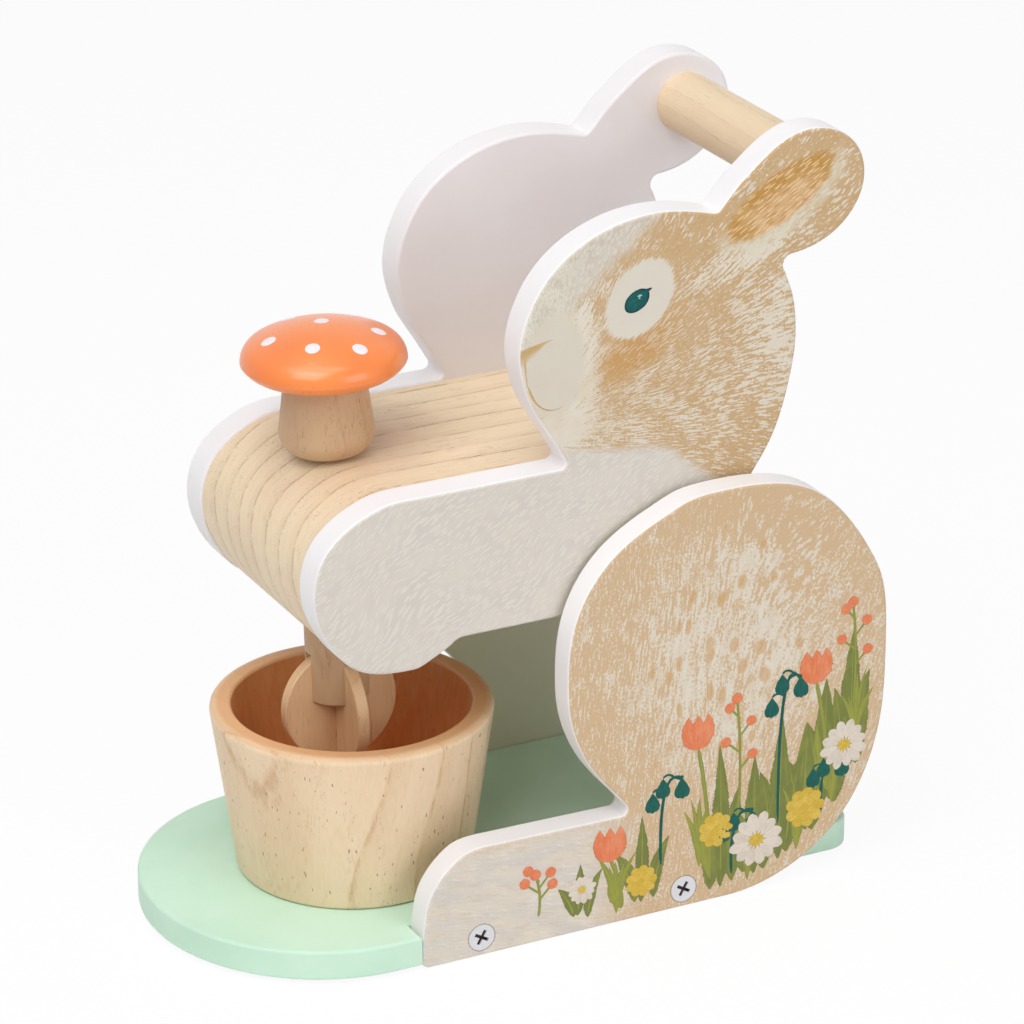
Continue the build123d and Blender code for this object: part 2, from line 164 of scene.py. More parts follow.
# Painted plants.
LEAF_DEEP = linear(118, 126, 66)
LEAF = linear(138, 144, 72)
LEAF_LIGHT = linear(160, 162, 68)
CORAL = linear(226, 124, 82)
CORAL_LIGHT = linear(234, 152, 112)
YELLOW = linear(208, 172, 62)
YELLOW_LIGHT = linear(226, 198, 98)
PETAL = linear(227, 216, 203)
PETAL_SHADE = linear(209, 196, 180)
PLANT_TEAL = linear(18, 88, 80)
PLANT_TEAL_LIGHT = linear(40, 112, 98)


# ---- shader maths ------------------------------------------------------------
class Value:
    """A number that changes over a surface, with the operators of arithmetic."""

    def __init__(self, nodes: "Nodes", socket: bpy.types.NodeSocket) -> None:
        """Wrap a socket of a node tree."""
        self.nodes = nodes
        self.socket = socket

    def math(self, operation: str, *inputs: "Number") -> "Value":
        """Add one Math node.

        Args:
            operation: The node's operation.
            *inputs: Its inputs in order, numbers or values.

        Returns:
            The node's result.
        """
        return self.nodes.value("ShaderNodeMath", {"operation": operation}, dict(enumerate(inputs)))

    def __add__(self, other: "Number") -> "Value":
        """Sum."""
        return self.math("ADD", self, other)

    __radd__ = __add__

    def __sub__(self, other: "Number") -> "Value":
        """Difference."""
        return self.math("SUBTRACT", self, other)

    def __rsub__(self, other: "Number") -> "Value":
        """Difference, the other way round."""
        return self.math("SUBTRACT", other, self)

    def __mul__(self, other: "Number") -> "Value":
        """Product."""
        return self.math("MULTIPLY", self, other)

    __rmul__ = __mul__

    def __truediv__(self, other: "Number") -> "Value":
        """Quotient."""
        return self.math("DIVIDE", self, other)

    def __pow__(self, other: "Number") -> "Value":
        """Power."""
        return self.math("POWER", self, other)

    def absolute(self) -> "Value":
        """Size without sign."""
        return self.math("ABSOLUTE", self)

    def fraction(self) -> "Value":
        """Part after the decimal point."""
        return self.math("FRACT", self)

    def at_least(self, other: "Number") -> "Value":
        """The larger of the two."""
        return self.math("MAXIMUM", self, other)

    def rise(self, low: float, high: float) -> "Value":
        """Smooth step.

        Args:
            low: The value at which the result is 0.
            high: The value at which the result is 1.

        Returns:
            A value of 0 to 1.
        """
        settings = {"interpolation_type": "SMOOTHSTEP"}
        return self.nodes.value("ShaderNodeMapRange", settings, {0: self, 1: low, 2: high})

    def fall(self, low: float, high: float) -> "Value":
        """Smooth step from 1 at low down to 0 at high."""
        return 1.0 - self.rise(low, high)


Number = Union[float, Value]
Tint = Union[Colour, bpy.types.NodeSocket]


def length(first: Value, second: Value) -> Value:
    """Distance from the origin of a point given by two values."""
    return (first * first + second * second) ** 0.5


class Nodes:
    """The node tree of a material or a world, built node by node."""

    def __init__(self, owner: Union[bpy.types.Material, bpy.types.World]) -> None:
        """Empty the owner's tree to start with.

        Args:
            owner: The material or world whose tree is built.
        """
        owner.use_nodes = True
        self.owner = owner
        self.tree = owner.node_tree
        self.tree.nodes.clear()

    def add(
        self, kind: str, settings: Optional[dict] = None, inputs: Optional[dict] = None
    ) -> bpy.types.Node:
        """Add a node.

        Args:
            kind: The node's type.
            settings: Its settings, set before its inputs.
            inputs: Its inputs by name or number, as plain values, values or sockets.

        Returns:
            The new node.
        """
        node = self.tree.nodes.new(kind)
        for key, setting in (settings or {}).items():
            setattr(node, key, setting)
        for key, given in (inputs or {}).items():
            given = given.socket if isinstance(given, Value) else given
            if isinstance(given, bpy.types.NodeSocket):
                self.tree.links.new(given, node.inputs[key])
            else:
                node.inputs[key].default_value = given
        return node

    def value(self, kind: str, settings: dict, inputs: dict) -> Value:
        """Add a node and wrap its first output."""
        return Value(self, self.add(kind, settings, inputs).outputs[0])

    def place(self) -> tuple[Value, Value, Value]:
        """Object coordinates in millimetres.

        Returns:
            Place along, across and above, as three values.
        """
        coordinates = self.add("ShaderNodeTexCoord").outputs["Object"]
        parts = self.add("ShaderNodeSeparateXYZ", None, {0: coordinates})
        x, y, z = (Value(self, out) / MM for out in parts.outputs)
        return x, y, z

    def attribute(self, name: str) -> Value:
        """A number stored on the mesh's vertices."""
        node = self.add("ShaderNodeAttribute", {"attribute_name": name})
        return Value(self, node.outputs["Fac"])

    def uv(self) -> tuple[Value, Value]:
        """The piece's own UV map as two values."""
        parts = self.add("ShaderNodeSeparateXYZ", None, {0: self.add("ShaderNodeUVMap").outputs[0]})
        return Value(self, parts.outputs[0]), Value(self, parts.outputs[1])

    def noise(
        self, x: Number, y: Number, z: Number, detail: float = 2.0, rough: float = 0.5
    ) -> Value:
        """Cloudy noise of 0 to 1 with features about one unit across.

        Args:
            x: First coordinate.
            y: Second coordinate.
            z: Third coordinate, a plain number for a flat pattern.
            detail: How many finer layers are added.
            rough: How strong each finer layer is.

        Returns:
            The noise, mostly between 0.3 and 0.7.
        """
        point = self.add("ShaderNodeCombineXYZ", None, {0: x, 1: y, 2: z}).outputs[0]
        inputs = {"Vector": point, "Scale": 1.0, "Detail": detail, "Roughness": rough}
        return self.value("ShaderNodeTexNoise", {"noise_dimensions": "3D"}, inputs)

    def mix(self, factor: Number, first: Tint, second: Tint) -> bpy.types.NodeSocket:
        """Blend from the first colour, at 0, to the second, at 1."""
        settings = {"data_type": "RGBA", "clamp_factor": True}
        return self.add("ShaderNodeMix", settings, {0: factor, 6: first, 7: second}).outputs[2]

    def bump(self, height: Value, depth: float) -> bpy.types.NodeSocket:
        """Turn a height of 0 to 1 into a normal; depth is in millimetres."""
        inputs = {"Height": height, "Distance": depth * MM, "Strength": 1.0}
        return self.add("ShaderNodeBump", None, inputs).outputs[0]

    def finish(self, **inputs: Union[Number, Tint]) -> bpy.types.Material:
        """Close the material with its shader.

        Args:
            **inputs: The shader's inputs by name, with _ for a blank.

        Returns:
            The finished material.
        """
        named = {name.replace("_", " "): given for name, given in inputs.items()}
        shader = self.add("ShaderNodeBsdfPrincipled", None, named)
        self.add("ShaderNodeOutputMaterial", None, {0: shader.outputs[0]})
        return self.owner


def new_nodes(name: str) -> Nodes:
    """Start a new material of that name."""
    return Nodes(bpy.data.materials.new(name))


# ---- finishes ----------------------------------------------------------------
class Grain(Enum):
    """The way a piece's wood fibres run."""

    ALONG_X = 0
    ALONG_Y = 1
    ALONG_Z = 2


@dataclass(frozen=True)
class BareWood:
    """Pale bare wood: growth rings, fibres and short dark pores.

    Attributes:
        name: The material's name.
        light: Colour of the early wood.
        dark: Colour of the lines and the pores.
        grain: The way the fibres run.
        pith: Where the rings' middle lies, on the two axes across the fibres.
        ring: Width of a ring.
        line: Strength of the thin line that ends a ring.
        band: Strength of the slow darkening before it.
        pores: Strength of the pores.
        figure: Strength of fibres and patches.
        sway: How far slow noise bends the rings.
        roughness: Roughness between the fibres.
    """

    name: str
    light: Colour
    dark: Colour
    grain: Grain
    pith: Spot
    ring: float = 10.0
    line: float = 0.3
    band: float = 0.2
    pores: float = 0.4
    figure: float = 0.4
    sway: float = 12.0
    roughness: float = 0.5

    def material(self) -> bpy.types.Material:
        """Build the wood.

        Rings are cylinders about a pith line along the fibres, with the distance
        from it bent by slow noise. Each ring darkens slowly and ends in a thin
        line. Pores are noise drawn out along the fibres, and crowd at the lines.

        Returns:
            The material.
        """
        nodes = new_nodes(self.name)
        colour, relief, rough = self.pattern(nodes)
        return nodes.finish(Base_Color=colour, Roughness=rough, Normal=nodes.bump(relief, 0.06))

    def pattern(self, nodes: Nodes) -> tuple[bpy.types.NodeSocket, Value, Value]:
        """Lay the rings, the fibres and the pores one over another.

        Args:
            nodes: The material's tree.

        Returns:
            Colour, relief and roughness of the wood.
        """
        place = list(nodes.place())
        along = place.pop(self.grain.value)
        first, second = place
        sway = nodes.noise(first / 40.0, second / 40.0, along / 90.0, 1.0) - 0.5
        ripple = nodes.noise(first / 6.0, second / 6.0, along / 30.0, 2.0) - 0.5
        distance = length(first - self.pith[0], second - self.pith[1])
        rings = (distance + sway * self.sway + ripple * 1.4) / self.ring
        phase = rings.fraction()
        fine = (rings * 3.0 + ripple).fraction()
        line = phase.rise(0.86, 0.945) * phase.fall(0.95, 0.975)
        band = phase.rise(0.45, 0.93) * phase.fall(0.95, 1.0)
        thin = fine.rise(0.80, 0.92) * fine.fall(0.93, 1.0)
        fibre = nodes.noise(first * 1.6, second * 1.6, along / 7.0, 3.0, 0.6)
        patch = nodes.noise(first / 20.0, second / 20.0, along / 45.0, 2.0)
        dash = nodes.noise(first * 2.2, second * 2.2, along / 3.6, 1.0).rise(0.60, 0.66)
        crowd = nodes.noise(first / 6.0, second / 6.0, along / 20.0, 2.0).rise(0.42, 0.66) + line
        grit = nodes.noise(first * 3.4, second * 3.4, along * 1.2, 1.0).rise(0.60, 0.72)
        fleck = (dash + grit * 0.5) * crowd * self.pores
        worn = nodes.noise(first / 3.0, second / 3.0, along / 9.0, 1.0).rise(0.36, 0.56)
        dark = line * worn * self.line + band * self.band + thin * worn * (0.35 * self.line)
        dark = dark + (fibre - 0.5) * self.figure + (patch - 0.5) * self.figure + 0.08
        pore_colour = tuple(0.45 * channel for channel in self.dark[:3]) + (1.0,)
        colour = nodes.mix(fleck, nodes.mix(dark, self.light, self.dark), pore_colour)
        return colour, fibre * 0.5 - fleck * 0.6, self.roughness + (fibre - 0.5) * 0.3


@dataclass(frozen=True)
class BowlWood(BareWood):
    """Bare wood of the turned bowl, browner inside and redder on the rim.

    Attributes:
        axis_x: Where the bowl's axis stands along the toy.
        wall_radius: Radius, at height 0, that parts inside from outside.
        wall_slope: How much that radius grows with height.
        rim: Height at which the rim's colour starts.
        inside: Colour of the inside, browner than the outside.
        rim_tint: Stain of the rim.
        speck: Colour of the specks.
    """

    axis_x: float = -45.8
    wall_radius: float = 33.4
    wall_slope: float = 0.143
    rim: float = 67.0
    inside: Colour = BOWL_INSIDE
    rim_tint: Colour = BOWL_RIM
    speck: Colour = BOWL_SPECK

    def material(self) -> bpy.types.Material:
        """Build the wood, with the inside told by its distance from the axis.

        Returns:
            The material.
        """
        nodes = new_nodes(self.name)
        colour, relief, rough = self.pattern(nodes)
        x, y, z = nodes.place()
        radius = length(x - self.axis_x, y) - z * self.wall_slope
        within = radius.fall(self.wall_radius - 1.0, self.wall_radius + 1.0)
        upper = z.rise(self.rim - 0.6, self.rim + 0.3)
        figure = nodes.noise(x / 2.0, y / 2.0, z / 9.0, 3.0, 0.65)
        specks = nodes.noise(x / 0.9, y / 0.9, z / 2.6, 0.0).rise(0.78, 0.82)
        colour = nodes.mix(specks * 0.7, colour, self.speck)
        inside_tone = nodes.mix(0.55 + figure * 0.5, colour, self.inside)
        colour = nodes.mix(upper * 0.6, nodes.mix(within, colour, inside_tone), self.rim_tint)
        return nodes.finish(Base_Color=colour, Roughness=rough, Normal=nodes.bump(relief, 0.06))


@dataclass(frozen=True)
class SatinPaint:
    """Sprayed paint over wood: slight mottling, orange peel and soft wear.

    Attributes:
        name: The material's name.
        colour: The paint's colour.
        shade: Its colour where the mottling is deepest.
        roughness: Roughness of the even parts.
        coat: Weight of a clear coat.
        peel: Depth of the orange peel.
        mirror: Strength of the mirror reflection.
    """

    name: str
    colour: Colour
    shade: Colour
    roughness: float = 0.42
    coat: float = 0.0
    peel: float = 0.02
    mirror: float = 0.5

    def material(self) -> bpy.types.Material:
        """Build the paint.

        Returns:
            The material.
        """
        nodes = new_nodes(self.name)
        x, y, z = nodes.place()
        mottle = nodes.noise(x / 26.0, y / 26.0, z / 26.0, 3.0)
        specks = nodes.noise(x / 1.1, y / 1.1, z / 1.1, 2.0)
        share = mottle.rise(0.30, 0.75) * 0.75 + (specks - 0.5) * 0.2
        rough = self.roughness + (mottle - 0.5) * 0.12 + (specks - 0.5) * 0.08
        return nodes.finish(
            Base_Color=nodes.mix(share, self.colour, self.shade),
            Roughness=rough,
            Coat_Weight=self.coat,
            Specular_IOR_Level=self.mirror,
            Normal=nodes.bump(specks, self.peel),
        )


@dataclass(frozen=True)
class ZincScrew:
    """Bright zinc with faint turning marks, and painted shade in the cross.

    Attributes:
        name: The material's name.
        face: Distance of the screw's outer face from the toy's middle plane.
    """

    name: str
    face: float = 60.25

    def material(self) -> bpy.types.Material:
        """Build the metal, with painted shade that deepens with depth below the outer face.

        Returns:
            The material.
        """
        nodes = new_nodes(self.name)
        x, y, z = nodes.place()
        scratch = nodes.noise(x * 0.9, y * 0.9, z * 5.0, 3.0)
        # Painted shade: the metal darkens towards the bottom of the cross recess.
        deep = y.absolute().fall(self.face - 1.2, self.face - 0.2)
        bright = nodes.mix(scratch, ZINC_DULL, ZINC_BRIGHT)
        colour = nodes.mix(deep, bright, ZINC_RECESS_SHADE)
        return nodes.finish(
            Base_Color=colour,
            Roughness=0.42 + scratch * 0.2,
            Metallic=0.75,
            Normal=nodes.bump(scratch, 0.02),
        )


@dataclass(frozen=True)
class Blob:
    """A soft oval patch of the fur print, in the panel's plane.

    Attributes:
        x: Its middle along the toy.
        z: Its middle's height.
        long: Half of its length.
        wide: Half of its width.
        turn: Angle of its length to the horizontal, in degrees.
        soft: Half of the width of its rim, as a share of its radius.
    """

    x: float
    z: float
    long: float
    wide: float
    turn: float = 0.0
    soft: float = 0.25

    def mask(self, x: Value, z: Value, wobble: Number = 0.0) -> Value:
        """How much of the patch lies at a point.

        Args:
            x: Place along the toy.
            z: Height.
            wobble: Added to the oval's radius, to make its rim uneven.

        Returns:
            1 inside, 0 outside, and a soft rim.
        """
        angle = math.radians(self.turn)
        right, up = x - self.x, z - self.z
        first = (right * math.cos(angle) + up * math.sin(angle)) / self.long
        second = (up * math.cos(angle) - right * math.sin(angle)) / self.wide
        return (length(first, second) + wobble).fall(1.0 - self.soft, 1.0 + self.soft)


@dataclass(frozen=True)
class Panel:
    """A painted panel's two faces, as distances from the middle plane."""

    outer: float
    inner: float

    @classmethod
    def of(cls, node: str) -> "Panel":
        """Measure a left panel's CAD node, in millimetres."""
        low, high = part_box(node)
        return cls(-low.y / MM, -high.y / MM)


class FurPrint:
    """Brushed fur printed on the outer face of a white painted panel."""

    inside: tuple[Colour, Colour] = (HEAD_INSIDE, HEAD_INSIDE_SHADE)

    def __init__(self, name: str, panel: Panel) -> None:
        """Start the print.

        Args:
            name: The material's name.
            panel: The panel that carries it.
        """
        self.nodes = new_nodes(name)
        self.x, self.y, self.z = self.nodes.place()
        self.panel = panel
        self.tooth = self.nodes.noise(self.x * 1.3, self.z * 1.0, 3.0, 4.0, 0.7)

    def cloud(
        self, size: float, seed: float, detail: float = 1.0, rough: float = 0.5, tall: float = 0.0
    ) -> Value:
        """Cloudy noise in the panel's plane.

        Args:
            size: Size of its features along the toy.
            seed: Which pattern.
            detail: How many finer layers are added.
            rough: How strong each finer layer is.
            tall: Height of its features, the same as size where none is given.

        Returns:
            The noise, mostly between 0.3 and 0.7.
        """
        return self.nodes.noise(self.x / size, self.z / (tall or size), seed, detail, rough)

    def brush(
        self,
        along: Value,
        across: Value,
        seed: float,
        cover: Number,
        long: float = 6.0,
        wide: float = 0.75,
        edge: float = 0.03,
        tooth: float = 0.35,
    ) -> Value:
        """Paint dragged over a rough ground, in streaks that the tooth breaks up.

        Args:
            along: Place along the stroke.
            across: Place across the stroke.
            seed: Which pattern.
            cover: Share of the ground that is covered, 0 to 1.
            long: Length of a streak.
            wide: Width of a streak.
            edge: Softness of a streak's rim.
            tooth: How much the ground's tooth counts.

        Returns:
            1 where there is paint, 0 where there is none.
        """
        nodes = self.nodes
        streak = nodes.noise(along / long, across / wide, seed, 2.0, 0.55)
        sweep = nodes.noise(along / (3.0 * long), across / (6.0 * wide), seed + 5.0, 1.0)
        level = streak * (0.8 - tooth) + sweep * 0.2 + self.tooth * tooth
        return (level + (cover - 0.5) * 0.30).rise(0.5 - edge, 0.5 + edge)

    def dashes(
        self,
        along: Value,
        across: Value,
        seed: float,
        reach: Number,
        long: float = 6.0,
        wide: float = 0.9,
        edge: float = 0.07,
        tooth: float = 0.6,
    ) -> Value:
        """Short separate strokes, each about the middle of its own scattered cell.

        Args:
            along: Place along the stroke.
            across: Place across the stroke.
            seed: Which pattern.
            reach: How far the paint reaches from a cell's middle, 0 to 1.
            long: Length of a cell.
            wide: Width of a cell.
            edge: Softness of a stroke's rim.
            tooth: How much the ground's tooth counts.

        Returns:
            1 on a stroke, 0 between them.
        """
        parts = {0: along / long + seed, 1: across / wide + seed}
        point = self.nodes.add("ShaderNodeCombineXYZ", None, parts).outputs[0]
        settings = {"voronoi_dimensions": "2D"}
        cells = self.nodes.value("ShaderNodeTexVoronoi", settings, {"Vector": point, "Scale": 1.0})
        return (cells + (self.tooth - 0.5) * tooth - reach).fall(-edge, edge)

    def close(self, picture: Tint, relief: Value) -> bpy.types.Material:
        """Put the picture on the outer face and white paint on the rest, tinted by painted
        reflection on the haunch's inner face.

        Args:
            picture: The printed colour.
            relief: Height of the brushed paint.

        Returns:
            The material.
        """
        nodes, outer, inner = self.nodes, self.panel.outer, self.panel.inner
        distance = self.y.absolute()
        uneven = (self.tooth - 0.5) * 0.12
        printed = (distance + uneven).rise(outer - 0.40, outer - 0.28)
        mottle = nodes.noise(self.x / 30.0, self.y / 30.0, self.z / 30.0, 3.0).rise(0.3, 0.8)
        outside = nodes.mix(mottle * 0.4, WHITE_PAINT, WHITE_SHADE)
        inside = nodes.mix(mottle * 0.5, *self.inside)
        paint = nodes.mix(distance.rise(inner + 0.2, inner + 1.2), inside, outside)
        height = relief * printed + self.tooth * 0.15
        return nodes.finish(
            Base_Color=nodes.mix(printed, paint, picture),
            Roughness=0.50 + (self.tooth - 0.5) * 0.2,
            Specular_IOR_Level=0.35,
            Normal=nodes.bump(height, 0.03),
        )


class HeadPrint(FurPrint):
    """Fur of the head, ear and arm."""

    STROKES_FROM = (-8.0, 166.0)
    FAN_RADIUS = 72.0
    NOSE_TIP = (-10.3, 195.9)
    EAR_MIDDLE = (79.8, 231.6)
    EAR_TURN = math.radians(30.0)
    EAR_SIZE = (22.0, 8.0)
    BROW_PLACE = (12.0, 209.3)
    BROW_TURN = math.radians(41.0)
    BACK = Blob(86.0, 190.0, 20.0, 22.0, soft=0.5)
    THROAT = Blob(42.0, 166.0, 42.0, 15.0, turn=6.0, soft=0.6)
    NAPE = Blob(66.0, 215.0, 20.0, 5.5, turn=22.0, soft=0.5)
    SNOUT = Blob(2.0, 188.0, 16.0, 27.0, soft=0.30)
    CHIN = Blob(12.0, 164.0, 16.0, 8.0, soft=0.5)
    CROWN = Blob(48.0, 222.0, 15.0, 14.0, turn=20.0, soft=0.6)
    CHEEK = Blob(30.0, 190.8, 14.0, 7.6, turn=30.0, soft=0.5)
    MUZZLE = Blob(1.5, 189.8, 10.2, 16.3, soft=0.12)
    EYE_RING = Blob(30.8, 206.5, 14.0, 10.4, turn=50.0, soft=0.05)

    def material(self) -> bpy.types.Material:
        """Paint the head.

        Strokes fan out from a point behind the chin, so that they run back over the
        cheek and up along the ear. Tan paint lies on a cream ground, with cream
        dashes over it. Patches are laid one over another.

        Returns:
            The material.
        """
        nodes, x, z = self.nodes, self.x, self.z
        right = x - self.STROKES_FROM[0]
        up = z - self.STROKES_FROM[1]
        along = length(right, up)
        angle = nodes.value("ShaderNodeMath", {"operation": "ARCTAN2"}, {0: up, 1: right})
        sway = (self.cloud(26.0, seed=9.0) - 0.5) * 6.0
        across = angle * self.FAN_RADIUS + sway
        rim = (nodes.noise(along / 5.0, across / 0.9, 2.0, 2.0) - 0.5) * 0.55
        cloud = self.cloud(9.0, seed=4.0, detail=2.0)

        cover, reach = self.shares(rim, cloud)
        tan = self.brush(along, across, 1.0, cover)
        darker = self.brush(along, across, 31.0, 0.40, long=6.0, wide=1.1, edge=0.06)
        long_dash = self.dashes(along, across, 3.0, reach, long=6.5, wide=0.95)
        short_dash = self.dashes(along, across, 17.0, reach * 0.70, long=3.2, wide=0.6)
        light = long_dash.at_least(short_dash)
        ground = nodes.mix(cloud.rise(0.35, 0.7), CREAM, CREAM_WARM)
        colour = nodes.mix(tan, ground, TAN)
        colour = nodes.mix(tan * darker * 0.45, colour, TAN_DEEP)
        colour = nodes.mix(light * 0.85, colour, CREAM)

        colour = self.brow(colour, along, across, rim)
        cheek = self.CHEEK.mask(x, z, rim * 0.8)
        colour = nodes.mix(cheek * (0.85 - light * 0.45), colour, OCHRE)
        muzzle = self.MUZZLE.mask(x, z, rim * 0.4)
        colour = nodes.mix(muzzle, colour, nodes.mix(cloud, MUZZLE_CREAM, MUZZLE_LIGHT))
        colour = self.nose(colour)
        ring = self.EYE_RING.mask(x, z, rim * 0.7)
        colour = nodes.mix(ring, colour, RING_CREAM)
        colour = self.inner_ear(colour, rim)
        colour = self.arm(colour, rim)
        return self.close(colour, tan * 0.5 + light * 0.5)

    def shares(self, rim: Value, cloud: Value) -> tuple[Value, Value]:
        """How much tan lies on the ground, and how far the cream dashes reach.

        Args:
            rim: Unevenness of a patch's rim.
            cloud: Slow noise.

        Returns:
            Share of tan and reach of the dashes, place by place.
        """
        x, z = self.x, self.z
        back, throat, nape, snout, chin, crown = (
            patch.mask(x, z, rim)
            for patch in (self.BACK, self.THROAT, self.NAPE, self.SNOUT, self.CHIN, self.CROWN)
        )
        less = back * 0.30 + throat * 0.04 + nape * 0.45 + snout * 0.58 + chin * 0.26
        reach = 0.20 + back * 0.18 + throat * 0.09 + nape * 0.10 - crown * 0.08
        return 0.86 - less + crown * 0.10, reach + (cloud - 0.5) * 0.8

    def brow(self, colour: Tint, along: Value, across: Value, rim: Value) -> bpy.types.NodeSocket:
        """Lay the mottled grey and cream fur in front of the eye, up to the brow.

        Args:
            colour: The fur so far.
            along: Place along the strokes.
            across: Place across the strokes.
            rim: Unevenness of a patch's rim.

        Returns:
            The colour with the brow.
        """
        nodes, x, z = self.nodes, self.x, self.z
        back, over = x - self.BROW_PLACE[0], z - self.BROW_PLACE[1]
        above = over * math.cos(self.BROW_TURN) - back * math.sin(self.BROW_TURN) + rim * 20.0
        cloud = self.cloud(6.0, seed=41.0, detail=3.0, rough=0.6)
        upper = x.rise(-4.0, 16.0)
        pale = nodes.mix(upper, BROW_CREAM, BROW_GREY)
        fur = nodes.mix(cloud.rise(0.42, 0.62) * 0.7, pale, BROW_SHADE)
        cream = self.dashes(along, across, 43.0, 0.30, long=3.0, wide=1.3, edge=0.12)
        marks = self.dashes(along, across, 47.0, 0.15, long=2.2, wide=1.3, edge=0.10)
        fur = nodes.mix(cream * 0.6, fur, BROW_DASH)
        fur = nodes.mix(marks * (0.65 - upper * 0.25), fur, BROW_MARK)
        return nodes.mix(above.rise(-2.0, 4.0) * 0.95, colour, fur)

    def nose(self, colour: Tint) -> bpy.types.NodeSocket:
        """Lay the nose: brown under a slanting line, deepest at the tip of the snout.

        Args:
            colour: The fur so far.

        Returns:
            The colour with the nose.
        """
        back = self.x - self.NOSE_TIP[0]
        depth = (back * 0.20 + self.NOSE_TIP[1] + 0.4) - self.z + (self.tooth - 0.5) * 1.8
        reach = (5.8 - back * 0.55).at_least(0.8)
        shade = depth.rise(-0.6, 0.4) * (depth / reach).fall(0.30, 1.15) * back.fall(6.0, 10.5)
        return self.nodes.mix(shade * 0.85, colour, NOSE_BROWN)

    def inner_ear(self, colour: Tint, rim: Value) -> bpy.types.NodeSocket:
        """Lay the golden inner ear and the pale band beside it over the fur.

        Args:
            colour: The fur so far.
            rim: Unevenness of a patch's rim.

        Returns:
            The colour with the inner ear.
        """
        nodes = self.nodes
        right, up = self.x - self.EAR_MIDDLE[0], self.z - self.EAR_MIDDLE[1]
        along = right * math.cos(self.EAR_TURN) + up * math.sin(self.EAR_TURN)
        across = up * math.cos(self.EAR_TURN) - right * math.sin(self.EAR_TURN)
        half_long, half_wide = self.EAR_SIZE
        whole = (length(along / half_long, across / half_wide) + rim * 0.5).fall(0.86, 1.08)
        far = length(along / (half_long + 5.0), across / (half_wide + 5.5))
        around = (far + rim * 0.4).fall(0.80, 1.05)
        band = around * (across + rim * 6.0).fall(-2.0, 4.0)
        scuff = self.dashes(along, across, 57.0, 0.30, long=4.0, wide=1.0)
        gold = (across + along * 0.08).rise(-0.5, 4.5).at_least(along.rise(9.0, 17.0))
        gold = gold.at_least(along.fall(-18.0, -9.0))
        streak = self.brush(along, across, 51.0, 0.50, long=4.0, wide=0.8, edge=0.06)
        fleck = self.dashes(along, across, 61.0, 0.25, long=6.0, wide=0.95, edge=0.07, tooth=0.5)
        dark = self.dashes(along, across, 67.0, 0.26, long=7.0, wide=1.1, edge=0.10, tooth=0.5)
        inner = nodes.mix(streak * 0.6, EAR_PEACH, EAR_TAN)
        inner = nodes.mix(gold * (0.65 + streak * 0.3), inner, EAR_GOLD)
        inner = nodes.mix(dark * 0.5, inner, EAR_BROWN)
        inner = nodes.mix(fleck * 0.75, inner, EAR_DASH)
        colour = nodes.mix(band * (0.75 - scuff * 0.4), colour, EAR_BAND)
        return nodes.mix(whole, colour, inner)

    def arm(self, colour: Tint, rim: Value) -> bpy.types.NodeSocket:
        """Lay the grey and beige fur of the arm over the tan.

        Args:
            colour: The fur so far.
            rim: Unevenness of a patch's rim.

        Returns:
            The colour with the arm.
        """
        nodes, x, z = self.nodes, self.x, self.z
        below = (z + x * 0.12 + rim * 9.0).fall(158.5, 163.5)
        front = (x + (z - 150.0) * 1.2 + rim * 9.0).fall(44.0, 52.0)
        turn = self.cloud(30.0, seed=12.0) * 1.6
        slanted = x * 0.80 + z * 0.60 + turn * 6.0
        crossing = z * 0.80 - x * 0.60 + turn * 10.0
        cloud = nodes.noise(slanted / 16.0, crossing / 8.0, 13.0, 3.0, 0.6)
        reach = cloud * 0.9 - 0.20
        pale = self.dashes(slanted, crossing, 71.0, reach, long=5.0, wide=1.1, edge=0.08)
        soft = self.brush(slanted, crossing, 81.0, 0.42, long=8.0, wide=2.0, edge=0.14)
        fur = nodes.mix(cloud.rise(0.34, 0.66), ARM_BEIGE, GREY_DEEP)
        fur = nodes.mix(soft * 0.5, fur, ARM_WARM)
        fur = nodes.mix(pale * 0.5, fur, ARM_PALE)
        return nodes.mix(below * front, colour, fur)


